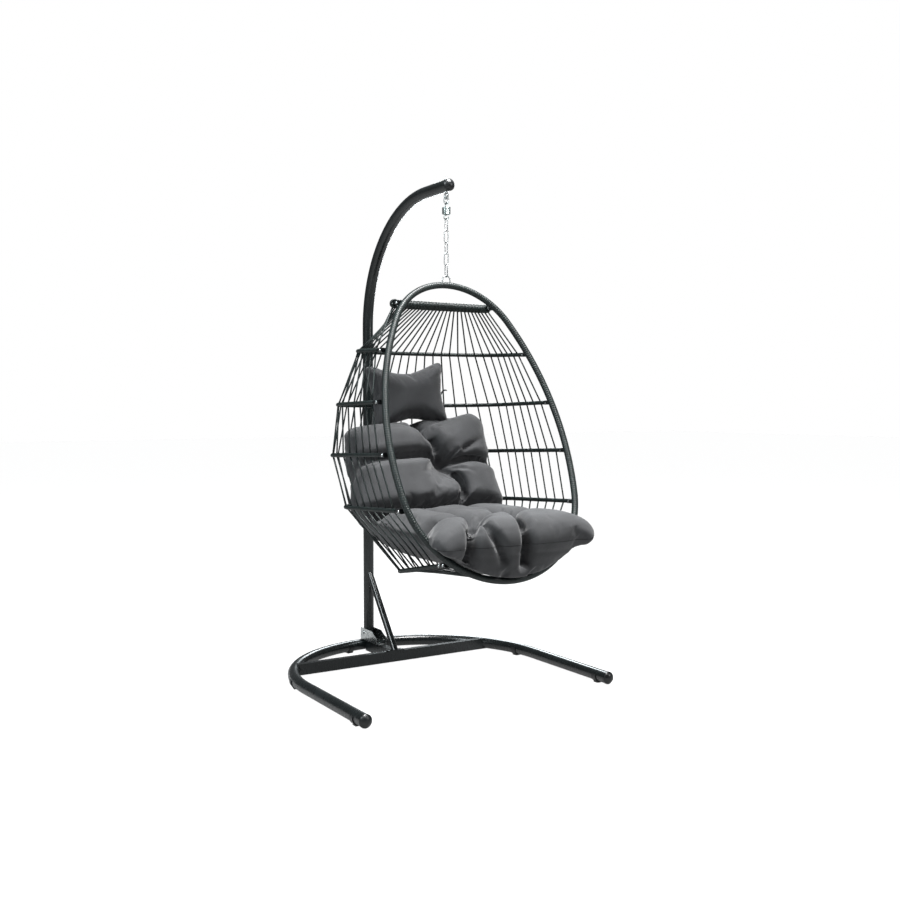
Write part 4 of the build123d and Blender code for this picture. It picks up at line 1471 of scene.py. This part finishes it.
@dataclass
class PillowStraps:
    """Webbing from the pillow round the hoop behind it."""

    palette: Palette
    hoop: Hoop
    pillow: HeadPillow
    places: tuple[float, float] = (-0.105, 0.075)
    sewn_behind: float = 0.248
    sewn_top: float = 1.150
    sewn_low: float = 1.085
    slack: float = 3.0 * MM
    side_loop_width: float = 7.0 * MM

    def build(self) -> None:
        """Make both straps and the small loop at the pillow's right edge."""
        lines = []
        side = np.array((1.0, 0.0, 0.0))
        for x in self.places:
            point = self.hoop.back_point(x)[0]
            reach = self.hoop.wrap + self.slack
            start = HANG[1] + self.sewn_behind
            middle = (start + point[1]) / 2
            loop = [np.array((x, start, self.sewn_top)),
                    np.array((x, middle, point[2] + reach + 8 * MM))]
            for turn in np.linspace(100, -100, 9):
                angle = math.radians(turn)
                loop.append(point + reach * np.array((0.0, math.cos(angle), math.sin(angle))))
            loop[2:] = [np.array((x, place[1], place[2])) for place in loop[2:]]
            loop += [np.array((x, middle, point[2] - reach - 6 * MM)),
                     np.array((x, start, self.sewn_low))]
            lines.append((np.array(loop), side))
        edge = self.pillow.half_width * (1 - self.pillow.side_dip)
        tail = self.pillow.place(np.array((
            (edge - 0.014, 0.0, -0.024), (edge + 0.002, 0.0, -0.014), (edge + 0.010, 0.0, 0.002),
            (edge + 0.023, 0.0, 0.014), (edge + 0.038, 0.0, 0.014))))
        flat = unit(np.array((-0.6, 0.0, 0.8)))
        piece = Ribbon().build("pillow_webbing", lines)
        side_loop = Ribbon(width=self.side_loop_width).build("pillow_side_loop", [(tail, flat)])
        for made in (piece, side_loop):
            self.palette.hang(made, Finish.WEBBING)
        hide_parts("pillow_straps")


# ---- carried-over nodes and the studio ------------------------------------------
@dataclass
class MetalAndPlastic:
    """The nodes whose CAD shape is kept, with the finishes that they get."""

    palette: Palette
    nodes: dict[str, bpy.types.Object]
    record: dict

    def build(self, replaced: Iterable[str]) -> None:
        """Dress every node that still shows.

        Args:
            replaced: Nodes that another piece stands for.
        """
        slots = {part["node"]: part["material_slot"] for part in self.record["subparts"]}
        kept = {name: node for name, node in self.nodes.items() if name not in set(replaced)}
        for name, node in kept.items():
            self.palette.dress(node, Finish(slots[name]))
            log.info("%s: kept from the frame", name)


@dataclass(frozen=True)
class SoftBox:
    """A large rectangular light."""

    name: str
    place: tuple[float, float, float]
    target: tuple[float, float, float]
    size: tuple[float, float]
    watts: float
    colour: Colour = (1.0, 1.0, 1.0)

    def build(self) -> None:
        """Hang the light."""
        data = bpy.data.lights.new(self.name, "AREA")
        data.shape = "RECTANGLE"
        data.size, data.size_y = self.size
        data.energy = self.watts
        data.color = self.colour
        lamp = bpy.data.objects.new(self.name, data)
        lamp.location = self.place
        aim = Vector(self.target) - Vector(self.place)
        lamp.rotation_euler = aim.to_track_quat("-Z", "Y").to_euler()
        bpy.context.scene.collection.objects.link(lamp)


@dataclass
class Studio:
    """Pale floor, soft light and the camera."""

    camera_place: tuple[float, float, float] = (-2.1125, -3.5332, 1.0864)
    yaw: float = -31.85
    pitch: float = -2.43
    lens: float = 41.7
    sensor: float = 36.0
    floor_size: float = 60.0
    floor_gap: float = 0.4 * MM
    air_colour: Colour = (0.93, 0.97, 1.0)
    air_strength: float = 0.13

    def build(self) -> None:
        """Make the stage."""
        self.floor()
        self.air()
        lights = (
            SoftBox("key", (-3.6, -0.8, 3.4), (0, 0, 0.9), (1.2, 1.8), 115.0, (0.90, 0.97, 1.0)),
            SoftBox("fill", (2.6, -3.6, 2.6), (0, 0, 0.7), (1.2, 1.2), 45.0),
            SoftBox("top", (0.3, -0.9, 4.4), (0, -0.3, 0.0), (1.4, 1.4), 430.0),
            SoftBox("rear", (2.2, 3.2, 2.6), (0, 0, 0.9), (0.8, 1.6), 60.0, (0.90, 0.97, 1.0)),
        )
        for light in lights:
            light.build()
        data = bpy.data.cameras.new("camera")
        data.lens = self.lens
        data.sensor_width = self.sensor
        camera = bpy.data.objects.new("camera", data)
        camera.location = self.camera_place
        camera.rotation_euler = (math.radians(90 + self.pitch), 0.0, math.radians(self.yaw))
        bpy.context.scene.collection.objects.link(camera)
        bpy.context.scene.camera = camera
        bpy.context.scene.view_settings.view_transform = "Standard"

    def floor(self) -> None:
        """Lay the floor just under the feet."""
        half = self.floor_size / 2
        corners = np.array(((-half, -half, 0), (half, -half, 0), (half, half, 0), (-half, half, 0)))
        floor = mesh_object("studio_floor", corners - UP * self.floor_gap, [(0, 1, 2, 3)])
        shader = Shader("pale_floor")
        shader.set(Base_Color=(0.9, 0.9, 0.9), Roughness=0.8, Specular_IOR_Level=0.1, Alpha=0.22)
        shader.set(Emission_Color=(1.0, 1.0, 1.0), Emission_Strength=0.85)
        floor.data.materials.append(shader.material)

    def air(self) -> None:
        """Light the surroundings evenly."""
        world = bpy.data.worlds.new("studio")
        bpy.context.scene.world = world
        world.use_nodes = True
        tree = world.node_tree
        tree.nodes.clear()
        output = tree.nodes.new("ShaderNodeOutputWorld")
        near, far = tree.nodes.new("ShaderNodeBackground"), tree.nodes.new("ShaderNodeBackground")
        for node, colour, strength in ((near, self.air_colour, self.air_strength),
                                       (far, (1.0, 1.0, 1.0), 1.0)):
            node.inputs["Color"].default_value = (*colour, 1.0)
            node.inputs["Strength"].default_value = strength
        path = tree.nodes.new("ShaderNodeLightPath")
        blend = tree.nodes.new("ShaderNodeMixShader")
        tree.links.new(path.outputs["Is Camera Ray"], blend.inputs[0])
        tree.links.new(near.outputs[0], blend.inputs[1])
        tree.links.new(far.outputs[0], blend.inputs[2])
        tree.links.new(blend.outputs[0], output.inputs[0])


def main() -> None:
    """Build the chair in order."""
    logging.basicConfig(level=logging.INFO, format="%(name)s %(message)s")
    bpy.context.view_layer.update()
    palette = Palette()
    ring = Ring()
    hoops = chair_hoops(ring)
    shoulder = hoops[2]
    WickerWraps(ring, hoops, palette).build()
    Lacing(ring, hoops, palette).build()
    CoilSpring(palette).build()
    SeatCushion(palette, ring).build()
    pillow = HeadPillow(palette)
    pillow.build()
    PillowStraps(palette, shoulder, pillow).build()
    replaced = [name for name in frame["nodes"] if name.startswith("lacing_")]
    replaced += ["ring_wrap", "hoop_wraps", "extension_spring", "seat_cushion", "head_pillow",
                 "pillow_straps"]
    MetalAndPlastic(palette, frame["nodes"], frame["record"]).build(replaced)
    Studio().build()


if __name__ == "__main__":
    main()
